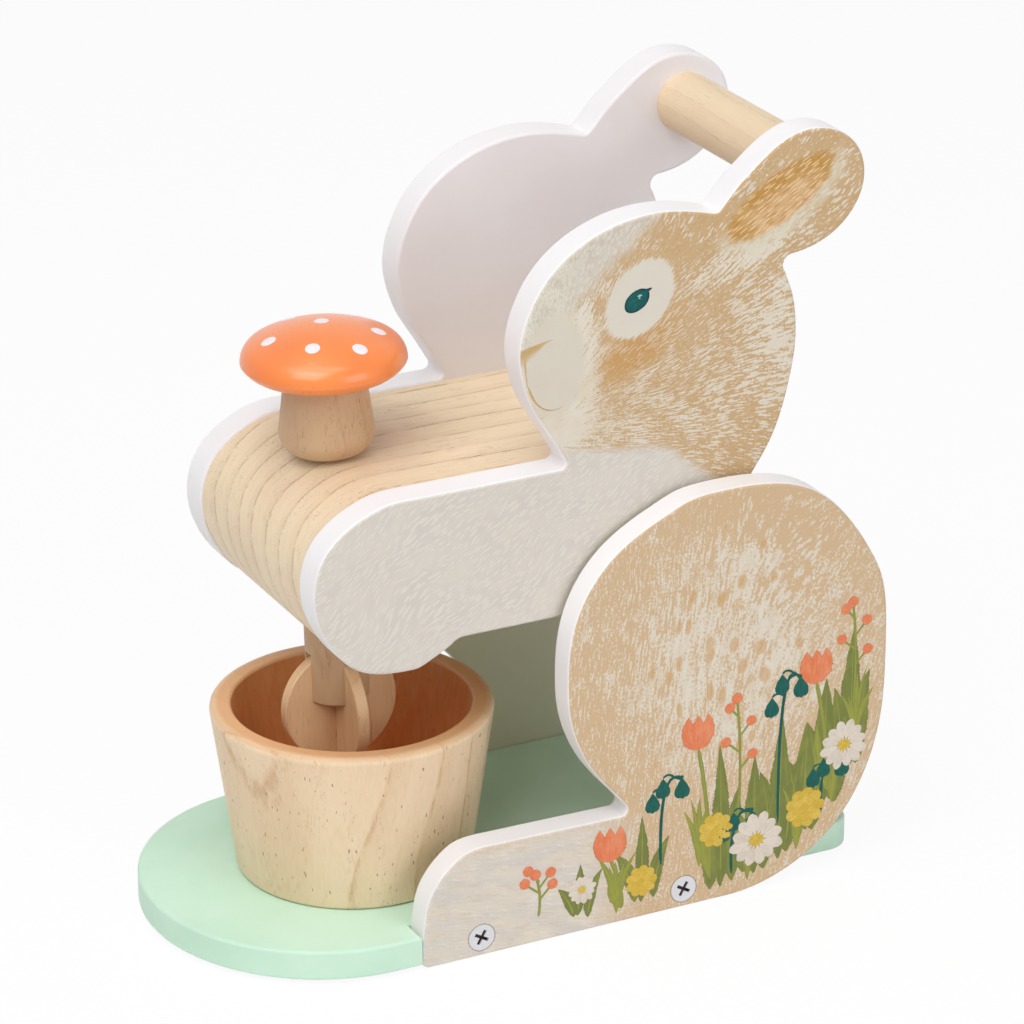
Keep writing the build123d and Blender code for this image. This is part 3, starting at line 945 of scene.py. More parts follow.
class HaunchPrint(FurPrint):
    """Fur of the haunch and foot."""

    SCREWS: tuple[Spot, ...] = ((42.5, 6.5), (-30.0, 6.5))
    MIDDLE = Blob(58.0, 84.0, 30.0, 40.0, turn=4.0, soft=0.5)
    BEHIND = Blob(103.0, 88.0, 15.0, 24.0, soft=0.6)
    CROWN = Blob(70.0, 136.0, 46.0, 12.0, turn=-6.0, soft=0.5)
    # Painted reflection: the inner face's white is tinted by light bounced off the board and the
    # wood.
    inside = (HAUNCH_BOUNCE_TINT, HAUNCH_BOUNCE_TINT_DEEP)

    def material(self) -> bpy.types.Material:
        """Paint the haunch.

        Strokes stand nearly upright and lean back behind; the foot is paler, with
        strokes along it.

        Returns:
            The material.
        """
        nodes, x, z = self.nodes, self.x, self.z
        lean = 0.12 + (x - 50.0).rise(0.0, 60.0) * 0.25
        sway = (self.cloud(24.0, seed=19.0) - 0.5) * 4.0
        along = z + x * lean
        across = x - z * lean + sway
        rim = (nodes.noise(along / 6.0, across / 0.9, 22.0, 2.0) - 0.5) * 0.5
        cloud = self.cloud(9.0, seed=24.0, detail=2.0, tall=14.0)

        middle, behind, crown = (
            patch.mask(x, z, rim) for patch in (self.MIDDLE, self.BEHIND, self.CROWN)
        )
        cover = 0.70 - middle * 0.20 - behind * 0.12 + crown * 0.14 + (cloud - 0.5) * 1.0
        reach = 0.12 + middle * 0.14 - crown * 0.04 + (cloud - 0.5) * 0.9
        tan = self.brush(along, across, 101.0, cover, long=5.0, wide=0.7, edge=0.03, tooth=0.46)
        veil = self.brush(along, across, 106.0, 0.60, long=7.0, wide=2.2, edge=0.12, tooth=0.3)
        scratch = self.dashes(along, across, 111.0, reach, long=7.0, wide=0.8, edge=0.08, tooth=1.3)
        inner = middle * 0.26 + 0.03
        streak = self.dashes(along, across, 116.0, inner, long=17.0, wide=2.2, edge=0.10, tooth=1.2)
        soak = middle * 0.17
        warm = self.dashes(along, across, 121.0, soak, long=16.0, wide=7.0, edge=0.03, tooth=0.30)
        colour = nodes.mix(veil * 0.55, CREAM, HAUNCH_VEIL)
        colour = nodes.mix(tan * 0.92, colour, HAUNCH_TAN)
        colour = nodes.mix(scratch.at_least(streak) * 0.8, colour, CREAM)
        colour = nodes.mix(warm * 0.65, colour, HAUNCH_WARM)

        step = (x - 4.0 + rim * 12.0).fall(0.0, 26.0)
        foot = step * (z + rim * 6.0).fall(34.0, 42.0)
        level = z + x * 0.22 + sway * 0.5
        bands = nodes.noise(x / 16.0, level / 6.0, 33.0, 3.0, 0.6)
        fur = nodes.mix(bands.rise(0.34, 0.68), FOOT_CREAM, GREY_DEEP)
        brown = self.brush(x, level, 131.0, 0.34, long=6.0, wide=0.8)
        pale = self.brush(x, level, 141.0, 0.30, long=5.0, wide=0.9, edge=0.05)
        fur = nodes.mix(brown * 0.5, fur, FOOT_BROWN)
        fur = nodes.mix(pale * 0.65, fur, FOOT_PALE)
        colour = nodes.mix(foot, colour, fur)
        colour = self.shade_screw_gaps(colour)
        return self.close(colour, tan * 0.6 + scratch * 0.4)

    def shade_screw_gaps(self, colour: Tint) -> bpy.types.NodeSocket:
        """Paint shadow in a narrow ring of the print round each screw, where the gap round its head
        lies in shade.

        Args:
            colour: The print so far.

        Returns:
            The colour with the painted shadow rings.
        """
        for middle in self.SCREWS:
            away = length(self.x - middle[0], self.z - middle[1])
            # Painted shadow ring, its outer rim broken up by the tooth.
            ring = away.rise(4.3, 4.5) * (away + (self.tooth - 0.5) * 0.8).fall(4.65, 4.95)
            colour = self.nodes.mix(ring * 0.8, colour, SCREW_GAP_SHADOW)
        return colour


@dataclass(frozen=True)
class DabPaint:
    """Hand-laid paint of a small motif, streaked along each dab.

    Attributes:
        name: The material's name.
        colour: The paint's colour.
        streak: Colour of its streaks.
        amount: Strength of the streaks.
        rib: Strength of a streak along the middle.
        ragged: Unevenness of the rim.
    """

    name: str
    colour: Colour
    streak: Colour
    amount: float = 0.8
    rib: float = 0.0
    ragged: float = 0.5

    def material(self) -> bpy.types.Material:
        """Build the paint.

        Each dab's tone shifts its colour, a rib marks its middle, and noise nibbles
        its rim away.

        Returns:
            The material.
        """
        nodes = new_nodes(self.name)
        along, across = nodes.uv()
        tone = nodes.attribute("tone")
        x, _, z = nodes.place()
        drag = nodes.noise(along * 4.0, across * 8.0, tone * 37.0, 2.0)
        cloud = nodes.noise(x / 4.0, z / 4.0, tone * 11.0, 2.0)
        share = drag.rise(0.42, 0.62) * 0.6 + cloud.rise(0.35, 0.7) * 0.5 + tone * 0.5 - 0.3
        off_middle = (across - 0.5).absolute()
        middle = (off_middle + (drag - 0.5) * 0.3).fall(0.04, 0.12) * self.rib
        nibble = nodes.noise(x * 1.7, z * 1.7, 5.0, 3.0, 0.6)
        rim = off_middle * 2.0 + (nibble - 0.5) * self.ragged
        return nodes.finish(
            Base_Color=nodes.mix((share * self.amount).at_least(middle), self.colour, self.streak),
            Roughness=0.48 + (drag - 0.5) * 0.2,
            Alpha=rim.fall(0.90, 0.97),
            Specular_IOR_Level=0.2,
            Normal=nodes.bump(drag, 0.02),
        )


# ---- meshes -------------------------------------------------------------------
@dataclass
class Dabs:
    """Closed thin bodies of paint, gathered into one mesh.

    Attributes:
        name: The piece's name.
        points: Vertices, body by body.
        quads: Faces between the rings.
        triangles: Faces at the two ends.
        maps: UV places of the vertices.
        tones: Colour shifts of the vertices.
        count: How many vertices there are so far.
    """

    name: str
    points: list[np.ndarray] = field(default_factory=list)
    quads: list[np.ndarray] = field(default_factory=list)
    triangles: list[np.ndarray] = field(default_factory=list)
    maps: list[np.ndarray] = field(default_factory=list)
    tones: list[np.ndarray] = field(default_factory=list)
    count: int = 0

    def add(self, rings: np.ndarray, ends: np.ndarray, flat: np.ndarray, tone: float) -> None:
        """Add one closed body: rings of points between two end points.

        Args:
            rings: Points, as rings by points round each ring by three.
            ends: The end point before the first ring and the one after the last.
            flat: The rings' UV places, as rings by points by two.
            tone: A number of 0 to 1 that shifts the body's colour.
        """
        ring_count, around = rings.shape[:2]
        index = np.arange(ring_count * around).reshape(ring_count, around) + self.count
        turned = np.roll(index, -1, axis=1)
        start = self.count + ring_count * around
        quads = np.stack([index[:-1], turned[:-1], turned[1:], index[1:]], axis=-1)
        head = np.stack([np.full(around, start), turned[0], index[0]], axis=-1)
        tail = np.stack([np.full(around, start + 1), index[-1], turned[-1]], axis=-1)
        self.points += [rings.reshape(-1, 3), ends]
        self.quads.append(quads.reshape(-1, 4))
        self.triangles += [head, tail]
        self.maps += [flat.reshape(-1, 2), flat[[0, -1]].mean(axis=1)]
        self.tones.append(np.full(ring_count * around + 2, tone))
        self.count = start + 2

    def build(self, material: bpy.types.Material, flip: bool = False) -> bpy.types.Object:
        """Make the mesh object.

        Args:
            material: Its finish.
            flip: Turn the faces round, for a mirrored drawing.

        Returns:
            The object, at the origin, in metres.
        """
        points = np.vstack(self.points) * MM
        quads, triangles = np.vstack(self.quads), np.vstack(self.triangles)
        if flip:
            quads, triangles = quads[:, ::-1], triangles[:, ::-1]
        loops = np.concatenate([quads.ravel(), triangles.ravel()])
        triangle_starts = quads.size + np.arange(len(triangles)) * 3
        starts = np.concatenate([np.arange(len(quads)) * 4, triangle_starts])
        mesh = bpy.data.meshes.new(self.name)
        mesh.vertices.add(len(points))
        mesh.vertices.foreach_set("co", points.ravel().astype(np.float32))
        mesh.loops.add(len(loops))
        mesh.loops.foreach_set("vertex_index", loops.astype(np.int32))
        mesh.polygons.add(len(starts))
        mesh.polygons.foreach_set("loop_start", starts.astype(np.int32))
        mesh.polygons.foreach_set("use_smooth", np.ones(len(starts), bool))
        mesh.update(calc_edges=True)
        layer = mesh.uv_layers.new(name="UVMap")
        layer.data.foreach_set("uv", np.vstack(self.maps)[loops].ravel().astype(np.float32))
        tones = mesh.attributes.new("tone", "FLOAT", "POINT")
        tones.data.foreach_set("value", np.concatenate(self.tones).astype(np.float32))
        mesh.materials.append(material)
        made = bpy.data.objects.new(self.name, mesh)
        bpy.context.scene.collection.objects.link(made)
        return made


def bezier(control: Sequence[Spot], count: int) -> np.ndarray:
    """Points of a Bezier curve: the control points weighed by Bernstein polynomials.

    Args:
        control: Control points in the plane.
        count: How many points to return.

    Returns:
        The points, count by two.
    """
    steps = np.linspace(0.0, 1.0, count)[:, None]
    degree = len(control) - 1
    order = np.arange(degree + 1)
    ways = np.array([math.comb(degree, k) for k in order])
    weights = ways * steps**order * (1.0 - steps) ** (degree - order)
    return weights @ np.array(control, float)


class Outline(Enum):
    """How a stroke's width runs from its start to its end."""

    OVAL = "oval"
    LEAF = "leaf"
    PETAL = "petal"
    STEM = "stem"
    TAPER = "taper"
    TONGUE = "tongue"

    def width(self, steps: np.ndarray) -> np.ndarray:
        """Width along the stroke: powers of sines and of the distance to its ends.

        Args:
            steps: Places along the stroke, 0 to 1.

        Returns:
            Width at each place, as a share of the widest.
        """
        if self is Outline.OVAL:
            return np.sqrt(np.clip(1.0 - (2.0 * steps - 1.0) ** 2, 0.0, 1.0))
        if self is Outline.LEAF:
            return np.sin(np.pi * steps**0.85) ** 0.9
        if self is Outline.PETAL:
            return np.sin(np.pi * steps**1.7) ** 0.6
        if self is Outline.STEM:
            return np.clip(np.minimum(steps, 1.0 - steps) * 14.0, 0.0, 1.0) ** 0.5
        if self is Outline.TONGUE:
            swell = 0.4 + 0.6 * np.sin(np.pi * steps)
            return np.clip(steps * 10.0, 0.0, 1.0) ** 0.5 * swell * (1.0 - steps**3) ** 0.6
        return np.clip(steps * 9.0, 0.0, 1.0) ** 0.5 * np.clip(1.0 - steps, 0.0, 1.0) ** 0.6


@dataclass(frozen=True)
class Canvas:
    """The outer face of one side's panel, to paint on.

    Attributes:
        side: -1 for the left side, 1 for the right.
        face: Distance of the face from the toy's middle plane.
        around: Points round a stroke.
        thick: Half of a stroke's thickness.
    """

    side: int
    face: float
    around: int = 12
    thick: float = 0.05

    def stroke(
        self,
        dabs: Dabs,
        control: Sequence[Spot],
        width: float,
        outline: Outline,
        tone: float,
        lift: float = 0.0,
        ragged: float = 0.0,
        steps: int = 24,
    ) -> None:
        """Lay one stroke: a flat ellipse carried along a curve, its width by an outline.

        Args:
            dabs: The mesh that takes it.
            control: The curve's control points, (x, z).
            width: Half of the widest part.
            outline: How the width runs.
            tone: Colour shift, 0 to 1.
            lift: How far it lies above the face, to put it over another stroke.
            ragged: Unevenness of each rim, as a share of the width.
            steps: How many rings.
        """
        inner = 0.5 - 0.5 * np.cos(np.linspace(0.0, np.pi, steps + 2)[1:-1])
        line = bezier(control, 200)
        lengths = np.concatenate([[0.0], np.cumsum(np.hypot(*np.diff(line, axis=0).T))])
        places = inner * lengths[-1]
        middle = np.stack([np.interp(places, lengths, line[:, k]) for k in (0, 1)], axis=1)
        slope = np.gradient(middle, places, axis=0)
        slope /= np.hypot(slope[:, 0], slope[:, 1])[:, None]
        across = np.stack([-slope[:, 1], slope[:, 0]], axis=1)
        shake = np.random.default_rng(int(1e4 * abs(line[0, 0] + 7.0 * line[-1, 1]) + 1))
        wave = 1.0 + ragged * shake.standard_normal((2, steps))
        turn = np.linspace(0.0, 2.0 * np.pi, self.around, endpoint=False)
        rim = np.where(np.cos(turn)[None, :] > 0.0, wave[0][:, None], wave[1][:, None])
        reach = width * outline.width(inner)[:, None] * rim * np.cos(turn)[None, :]
        out = self.side * (self.face + lift + self.thick * np.sin(turn))
        rings = np.stack(
            [
                middle[:, 0, None] + reach * across[:, 0, None],
                np.broadcast_to(out, reach.shape),
                middle[:, 1, None] + reach * across[:, 1, None],
            ],
            axis=-1,
        )
        level = self.side * (self.face + lift)
        ends = np.array([[line[k, 0], level, line[k, 1]] for k in (0, -1)])
        share = 0.5 + 0.5 * np.cos(turn)
        flat = np.stack(np.broadcast_arrays(inner[:, None], share[None, :]), axis=-1)
        dabs.add(rings, ends, flat, tone)

    def dot(
        self, dabs: Dabs, x: float, z: float, radius: float, tone: float, lift: float = 0.0
    ) -> None:
        """Lay one round dab.

        Args:
            dabs: The mesh that takes it.
            x: Place along the toy.
            z: Height.
            radius: Its radius.
            tone: Colour shift, 0 to 1.
            lift: How far it lies above the face.
        """
        ends = [(x - radius, z), (x + radius, z)]
        self.stroke(dabs, ends, radius, Outline.OVAL, tone, lift, ragged=0.04, steps=10)

    def mirrored(self) -> bool:
        """Whether faces have to be turned round on this side."""
        return self.side > 0


def dress(material: bpy.types.Material, *nodes: str) -> None:
    """Give CAD nodes their finish.

    Args:
        material: The finish.
        *nodes: The nodes' names.
    """
    for node in nodes:
        slots = frame["nodes"][node].data.materials
        slots.clear()
        slots.append(material)
        log.info("dressed %s with %s", node, material.name)


def keep(piece: bpy.types.Object, body: str) -> None:
    """Tie a new piece to its body, and report it.

    Args:
        piece: The piece.
        body: The body that carries it.
    """
    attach(piece, body)
    log.info("made %s, %d faces, on %s", piece.name, len(piece.data.polygons), body)


# ---- base ----------------------------------------------------------------------
class Meadow:
    """The plants painted along the heel of one haunch."""

    CLUMPS: tuple[tuple[Spot, tuple[Spot, ...], float], ...] = (
        ((5.0, 4.0), ((-3.0, 17.0), (5.0, 24.0), (13.0, 21.0)), 2.4),
        ((28.0, 4.0), ((17.0, 25.0), (27.0, 36.0), (37.0, 27.0)), 3.0),
        ((57.0, 4.0), ((46.0, 33.0), (55.0, 55.0), (63.0, 40.0)), 4.0),
        ((68.0, 6.0), ((61.0, 30.0), (68.0, 48.0), (76.0, 34.0)), 4.4),
        ((77.0, 9.0), ((70.0, 42.0), (78.0, 60.0), (86.0, 46.0)), 4.6),
        ((86.0, 16.0), ((80.0, 44.0), (87.0, 56.0), (95.0, 48.0)), 4.8),
        ((94.0, 24.0), ((87.0, 56.0), (94.0, 70.0), (103.0, 58.0)), 4.8),
        ((102.0, 37.0), ((97.0, 66.0), (104.0, 86.0), (110.0, 70.0)), 4.2),
    )
    GRASS: tuple[Spot, ...] = (
        (18.0, 3.5), (48.0, 13.0), (66.0, 4.0), (84.0, 11.0), (97.0, 25.0), (105.0, 46.0),
    )
    TULIPS: tuple[tuple[Spot, Spot], ...] = (
        ((52.0, 8.0), (47.0, 56.0)),
        ((95.0, 30.0), (90.0, 70.0)),
        ((20.0, 5.0), (15.5, 23.5)),
    )
    DAISIES: tuple[tuple[Spot, float], ...] = (
        ((69.0, 18.0), 10.0), ((101.0, 45.0), 8.8), ((5.5, 15.0), 5.2),
    )
    BELLS: tuple[tuple[Spot, float], ...] = (
        ((77.0, 22.0), 54.0), ((34.0, 17.0), 31.0), ((60.0, 8.0), 22.0), ((93.0, 22.0), 20.0),
    )
    POMPONS: tuple[tuple[Spot, float], ...] = (
        ((87.0, 25.5), 7.2), ((54.0, 25.0), 6.2), ((27.0, 13.0), 5.6),
    )
    SPRAYS: tuple[tuple[Spot, float], ...] = (
        ((62.0, 28.0), 42.0), ((104.0, 58.0), 37.0), ((-10.0, 9.0), 15.0),
    )

    BLADES_IN_FAN = 5
    DAISY_PETALS = 12
    # Dabs in each ring, how far out they lie and how large they are, as shares of the radius.
    POMPON_RINGS = ((9, 0.72, 0.30), (6, 0.40, 0.27), (1, 0.0, 0.24))

    def __init__(
        self, canvas: Canvas, word: str, paints: dict[str, bpy.types.Material], seed: int
    ) -> None:
        """Start one haunch's plants.

        Args:
            canvas: The panel face.
            word: Left or right, for the pieces' names.
            paints: The paint of each kind of dab.
            seed: Seed of the small differences between blades.
        """
        self.canvas = canvas
        self.paints = paints
        self.dabs = {kind: Dabs(f"{word}_haunch_{kind}") for kind in paints}
        self.rng = np.random.default_rng(seed)

    def build(self) -> None:
        """Lay all the plants, from the back to the front."""
        for root, tips, width in self.CLUMPS:
            for tip in tips:
                self.leaf(root, tip, width)
        for root in self.GRASS:
            self.grass(root)
        for foot, head in self.TULIPS:
            self.tulip(foot, head)
        for foot, height in self.BELLS:
            self.bells(foot, height)
        for foot, height in self.SPRAYS:
            self.spray(foot, height)
        for middle, radius in self.POMPONS:
            self.pompon(middle, radius)
        for middle, radius in self.DAISIES:
            self.daisy(middle, radius)
        for kind, dabs in self.dabs.items():
            keep(dabs.build(self.paints[kind], self.canvas.mirrored()), "base")

    def lay(
        self,
        kind: str,
        control: Sequence[Spot],
        width: float,
        outline: Outline,
        lift: float,
        tone: Optional[float] = None,
        steps: int = 24,
    ) -> None:
        """Lay one stroke of a kind of paint.

        Args:
            kind: Which paint.
            control: The stroke's control points.
            width: Half of its widest part.
            outline: How its width runs.
            lift: How far it lies above the face.
            tone: Colour shift, drawn at random where none is given.
            steps: How many rings.
        """
        tone = self.rng.uniform() if tone is None else tone
        self.canvas.stroke(self.dabs[kind], control, width, outline, tone, lift, 0.05, steps)

    def leaf(self, root: Spot, tip: Spot, width: float) -> None:
        """Lay one broad leaf, bent outwards, with a light rib.

        Args:
            root: Where it starts.
            tip: Where it ends.
            width: Half of its widest part.
        """
        right, up = tip[0] - root[0], tip[1] - root[1]
        width *= self.rng.uniform(0.85, 1.10)
        start = root[0] + 0.40 * right + self.rng.uniform(-1.0, 1.0)
        low = (start, root[1] + self.rng.uniform(0.0, 2.5))
        line = [low, (root[0] + 0.30 * right, root[1] + 0.6 * up), tip]
        self.lay("leaves", line, width, Outline.TONGUE, self.rng.uniform(0.0, 0.01))
        rib = [(float(x), float(z)) for x, z in bezier(line, 11)[1:10:4]]
        self.lay("blades", rib, 0.45, Outline.TAPER, lift=0.02, tone=0.9)

    def grass(self, root: Spot) -> None:
        """Lay a fan of narrow light blades.

        Args:
            root: Where they start.
        """
        for k in range(self.BLADES_IN_FAN):
            lean = (k - 2.0) * 3.2 + self.rng.uniform(-0.8, 0.8)
            tall = self.rng.uniform(15.0, 26.0)
            bend = (root[0] + 0.1 * lean, root[1] + 0.6 * tall)
            tip = (root[0] + lean, root[1] + tall)
            width = self.rng.uniform(1.0, 1.5)
            self.lay("blades", [root, bend, tip], width, Outline.LEAF, lift=0.02)

    def tulip(self, foot: Spot, head: Spot) -> None:
        """Lay a tulip: stem, one long leaf and a cup of three petals.

        Args:
            foot: Where the stem starts.
            head: Where the cup sits.
        """
        (x, z), (top_x, top_z) = foot, head
        height = top_z - z
        stem = [foot, (x, z + height / 2), head]
        self.lay("blades", stem, 0.75, Outline.STEM, lift=0.03, tone=0.2)
        leaf = [foot, (x - 5.0, z + height * 0.35), (x - 4.0, z + height * 0.62)]
        self.lay("blades", leaf, 1.9, Outline.LEAF, lift=0.03, tone=0.7)
        for shift, tone, lift in ((-3.2, 0.2, 0.05), (3.2, 0.95, 0.054), (0.0, 0.5, 0.06)):
            tip = (top_x + shift * 1.1, top_z + 11.0)
            petal = [(top_x, top_z - 1.0), (top_x + shift * 1.4, top_z + 5.0), tip]
            self.lay("tulips", petal, 3.2, Outline.LEAF, lift, tone)

    def daisy(self, middle: Spot, radius: float) -> None:
        """Lay a daisy: narrow petals about a yellow eye.

        Args:
            middle: Where its eye is.
            radius: How far the petals reach.
        """
        x, z = middle
        for k in range(self.DAISY_PETALS):
            angle = 2.0 * math.pi * k / self.DAISY_PETALS + 0.2
            right, up = math.cos(angle), math.sin(angle)
            away = radius * self.rng.uniform(0.9, 1.05)
            base = (x + radius * 0.15 * right, z + radius * 0.15 * up)
            tip = (x + away * right, z + away * up)
            lift, tone = 0.075 + 0.003 * (k % 2), (k * 0.37) % 1.0
            self.lay("petals", [base, tip], radius * 0.22, Outline.PETAL, lift, tone, steps=14)
        self.canvas.dot(self.dabs["pompons"], x, z, radius * 0.28, tone=0.4, lift=0.09)

    def bells(self, foot: Spot, height: float) -> None:
        """Lay an arching teal stem with four hanging bells.

        Args:
            foot: Where the stem starts.
            height: How tall it stands.
        """
        x, z = foot
        arch = [(-1.0, 0.75), (2.0, 1.12), (7.0, 0.92)]
        stem = [foot] + [(x + right, z + height * share) for right, share in arch]
        self.lay("bells", stem, 0.6, Outline.STEM, lift=0.04, tone=0.1)
        line = bezier(stem, 101)
        for step, reach in ((52, -4.6), (66, 4.6), (82, -4.0), (99, 0.8)):
            low = (line[step, 0], line[step, 1])
            neck = (low[0] + reach, low[1] + 0.4)
            bow = (low[0] + reach * 0.6, low[1] + 2.4)
            self.lay("bells", [low, bow, neck], 0.42, Outline.STEM, lift=0.04, tone=0.3, steps=10)
            for shift, lift in ((-1.1, 0.05), (1.1, 0.052), (0.0, 0.056)):
                lip = (neck[0] + shift * 1.4, neck[1] - 7.2 + abs(shift) * 0.4)
                self.lay("bells", [neck, lip], 1.7, Outline.PETAL, lift, 0.5 + shift * 0.3, 12)

    def spray(self, foot: Spot, height: float) -> None:
        """Lay a branching spray with a round berry at each tip.

        Args:
            foot: Where it starts.
            height: How tall it stands.
        """
        x, z = foot
        top = (x - 1.0, z + height)
        stem = [foot, (x + 1.5, z + height * 0.5), top]
        self.lay("blades", stem, 0.5, Outline.STEM, lift=0.03, tone=0.2)
        for share, reach in ((0.40, 5.0), (0.54, -4.8), (0.68, 4.4), (0.82, -3.6)):
            low = (x + 0.5, z + height * share)
            tip = (x + reach, low[1] + 4.6)
            self.lay("blades", [low, tip], 0.4, Outline.STEM, lift=0.03, tone=0.4, steps=8)
            self.canvas.dot(self.dabs["tulips"], *tip, 1.9, self.rng.uniform(), lift=0.065)
        self.canvas.dot(self.dabs["tulips"], *top, 2.0, self.rng.uniform(), lift=0.065)

    def pompon(self, middle: Spot, radius: float) -> None:
        """Lay a round yellow flower of dabs, in rings from the rim to the middle.

        Args:
            middle: Where its middle is.
            radius: Its radius.
        """
        for count, share, size in self.POMPON_RINGS:
            for k in range(count):
                angle = 2.0 * math.pi * k / count + share
                x = middle[0] + radius * share * math.cos(angle)
                z = middle[1] + radius * share * math.sin(angle)
                tone = (k * 0.29 + share) % 1.0
                lift = 0.075 - 0.02 * share
                self.canvas.dot(self.dabs["pompons"], x, z, radius * size, tone, lift)


@dataclass
class Base:
    """Board, haunch panels, rails and the plants painted on the haunches."""

    panel: str = "left_haunch_panel"
    seed: int = 7

    def dress(self) -> None:
        """Finish the base's CAD nodes."""
        panel = Panel.of(self.panel)
        batten = BareWood(
            "batten_wood", BATTEN_LIGHT, BATTEN_DARK, Grain.ALONG_Y, pith=(260.0, 40.0)
        )
        washer = SatinPaint("washer_plastic", NYLON, NYLON_SHADE, roughness=0.35)
        fur = HaunchPrint("haunch_fur_print", panel)
        mint = SatinPaint("mint_paint", MINT, MINT_DEEP, roughness=0.5, mirror=0.15)
        dress(fur.material(), "left_haunch_panel", "right_haunch_panel")
        dress(mint.material(), "base_board")
        dress(batten.material(), "rest_rail", "stop_rail", "rail_pins", "pivot_dowel")
        dress(washer.material(), "pivot_washers")
        dress(ZincScrew("base_screw_zinc", panel.outer).material(), "base_screws")

    def build(self) -> None:
        """Paint the plants on both haunches."""
        mixed = {
            "leaves": DabPaint("plant_leaf_paint", LEAF_DEEP, LEAF, amount=0.9),
            "blades": DabPaint("plant_blade_paint", LEAF, LEAF_LIGHT, amount=0.7, rib=0.9),
            "bells": DabPaint("plant_bell_paint", PLANT_TEAL, PLANT_TEAL_LIGHT, amount=0.5),
            "tulips": DabPaint("plant_tulip_paint", CORAL, CORAL_LIGHT),
            "petals": DabPaint("plant_petal_paint", PETAL, PETAL_SHADE),
            "pompons": DabPaint("plant_pompon_paint", YELLOW, YELLOW_LIGHT),
        }
        paints = {kind: paint.material() for kind, paint in mixed.items()}
        face = Panel.of(self.panel).outer
        for side, word in ((-1, "left"), (1, "right")):
            Meadow(Canvas(side, face), word, paints, self.seed).build()


# ---- head ----------------------------------------------------------------------
@dataclass
class Head:
    """Head panels with their face, the arm between them and the ear dowel."""

    panel: str = "left_head_panel"
    eye: Spot = (29.6, 206.0)
    almond: tuple[Spot, ...] = ((-4.1, -2.2), (-2.2, -1.6), (2.4, 1.6), (4.3, 2.1))
    corner: tuple[Spot, ...] = ((1.0, 1.4), (3.6, 2.9), (5.3, 3.3))
    nose_line: tuple[Spot, ...] = ((-8.6, 196.4), (-5.0, 197.1), (0.8, 198.4))
    lip_line: tuple[Spot, ...] = ((-8.6, 195.9), (-9.2, 188.0), (-7.2, 182.4))
    chin_line: tuple[Spot, ...] = ((-7.7, 184.4), (-5.6, 176.4), (-0.2, 173.6), (4.6, 176.2))

    def dress(self) -> None:
        """Finish the head's CAD nodes."""
        arm = BareWood(
            "arm_wood", ARM_LIGHT, ARM_DARK, Grain.ALONG_X,
            pith=(330.0, 60.0), ring=10.0, line=0.42, band=0.14, pores=0.34, figure=0.28,
        )
        dowel = BareWood(
            "dowel_wood", DOWEL_LIGHT, DOWEL_DARK, Grain.ALONG_Y,
            pith=(70.0, 160.0), ring=6.0, line=0.12, band=0.10, pores=0.15, figure=0.30,
        )
        fur = HeadPrint("head_fur_print", Panel.of(self.panel))
        dress(fur.material(), "left_head_panel", "right_head_panel")
        dress(arm.material(), "arm_block")
        dress(dowel.material(), "ear_handle", "head_pins")

    def build(self) -> None:
        """Paint the eye and the mouth on both sides."""
        rim = DabPaint("eye_rim_paint", TEAL_DARK, TEAL_RIM, amount=0.5, ragged=0.15)
        iris = DabPaint("eye_paint", TEAL, TEAL_LIGHT, amount=0.9, ragged=0.3)
        glint = DabPaint("eye_glint_paint", GLINT, GLINT_SHADE, amount=0.7)
        line = DabPaint("mouth_line_paint", MOUTH_TAN, MOUTH_LIGHT, amount=0.9, ragged=0.9)
        rim, iris, glint, line = (paint.material() for paint in (rim, iris, glint, line))
        for side, word in ((-1, "left"), (1, "right")):
            canvas = Canvas(side, Panel.of(self.panel).outer, around=16)
            for dabs, paint in (
                (self.eye_shape(canvas, f"{word}_eye_rim", 1.0, 0.0), rim),
                (self.eye_shape(canvas, f"{word}_eye", 0.86, 0.03), iris),
                (self.eye_glint(canvas, f"{word}_eye_glint"), glint),
                (self.mouth(canvas, f"{word}_mouth_line"), line),
            ):
                keep(dabs.build(paint, canvas.mirrored()), "head")

    def eye_shape(self, canvas: Canvas, name: str, scale: float, lift: float) -> Dabs:
        """An almond from the front corner low down to the pointed corner behind.

        Args:
            canvas: The panel face.
            name: The piece's name.
            scale: Size, 1 for the rim.
            lift: Height over the face.

        Returns:
            The almond's mesh data.
        """
        dabs = Dabs(name)
        x, z = self.eye
        almond, corner = (
            [(x + scale * right, z + scale * up) for right, up in shape]
            for shape in (self.almond, self.corner)
        )
        canvas.stroke(dabs, almond, 3.5 * scale, Outline.OVAL, tone=0.3, lift=lift)
        under = lift - 0.004
        canvas.stroke(dabs, corner, 1.3 * scale, Outline.TAPER, tone=0.3, lift=under, steps=12)
        return dabs

    def eye_glint(self, canvas: Canvas, name: str) -> Dabs:
        """Lay two small pale touches on the eye.

        Args:
            canvas: The panel face.
            name: The piece's name.

        Returns:
            The touches' mesh data.
        """
        dabs = Dabs(name)
        x, z = self.eye
        touch = [(x + 0.2, z + 1.2), (x + 1.0, z + 1.7), (x + 1.9, z + 1.5)]
        canvas.stroke(dabs, touch, 0.42, Outline.LEAF, tone=0.2, lift=0.06)
        canvas.dot(dabs, x + 0.9, z + 0.7, 0.3, tone=0.6, lift=0.06)
        return dabs

    def mouth(self, canvas: Canvas, name: str) -> Dabs:
        """Lay the line of the nose and the line of the mouth under it.

        Args:
            canvas: The panel face.
            name: The piece's name.

        Returns:
            The lines' mesh data.
        """
        dabs = Dabs(name)
        strokes = (
            (self.nose_line, 0.5, 0.2),
            (self.lip_line, 0.42, 0.4),
            (self.chin_line, 0.42, 0.3),
        )
        for control, width, tone in strokes:
            canvas.stroke(dabs, control, width, Outline.TAPER, tone, ragged=0.14, steps=30)
        return dabs


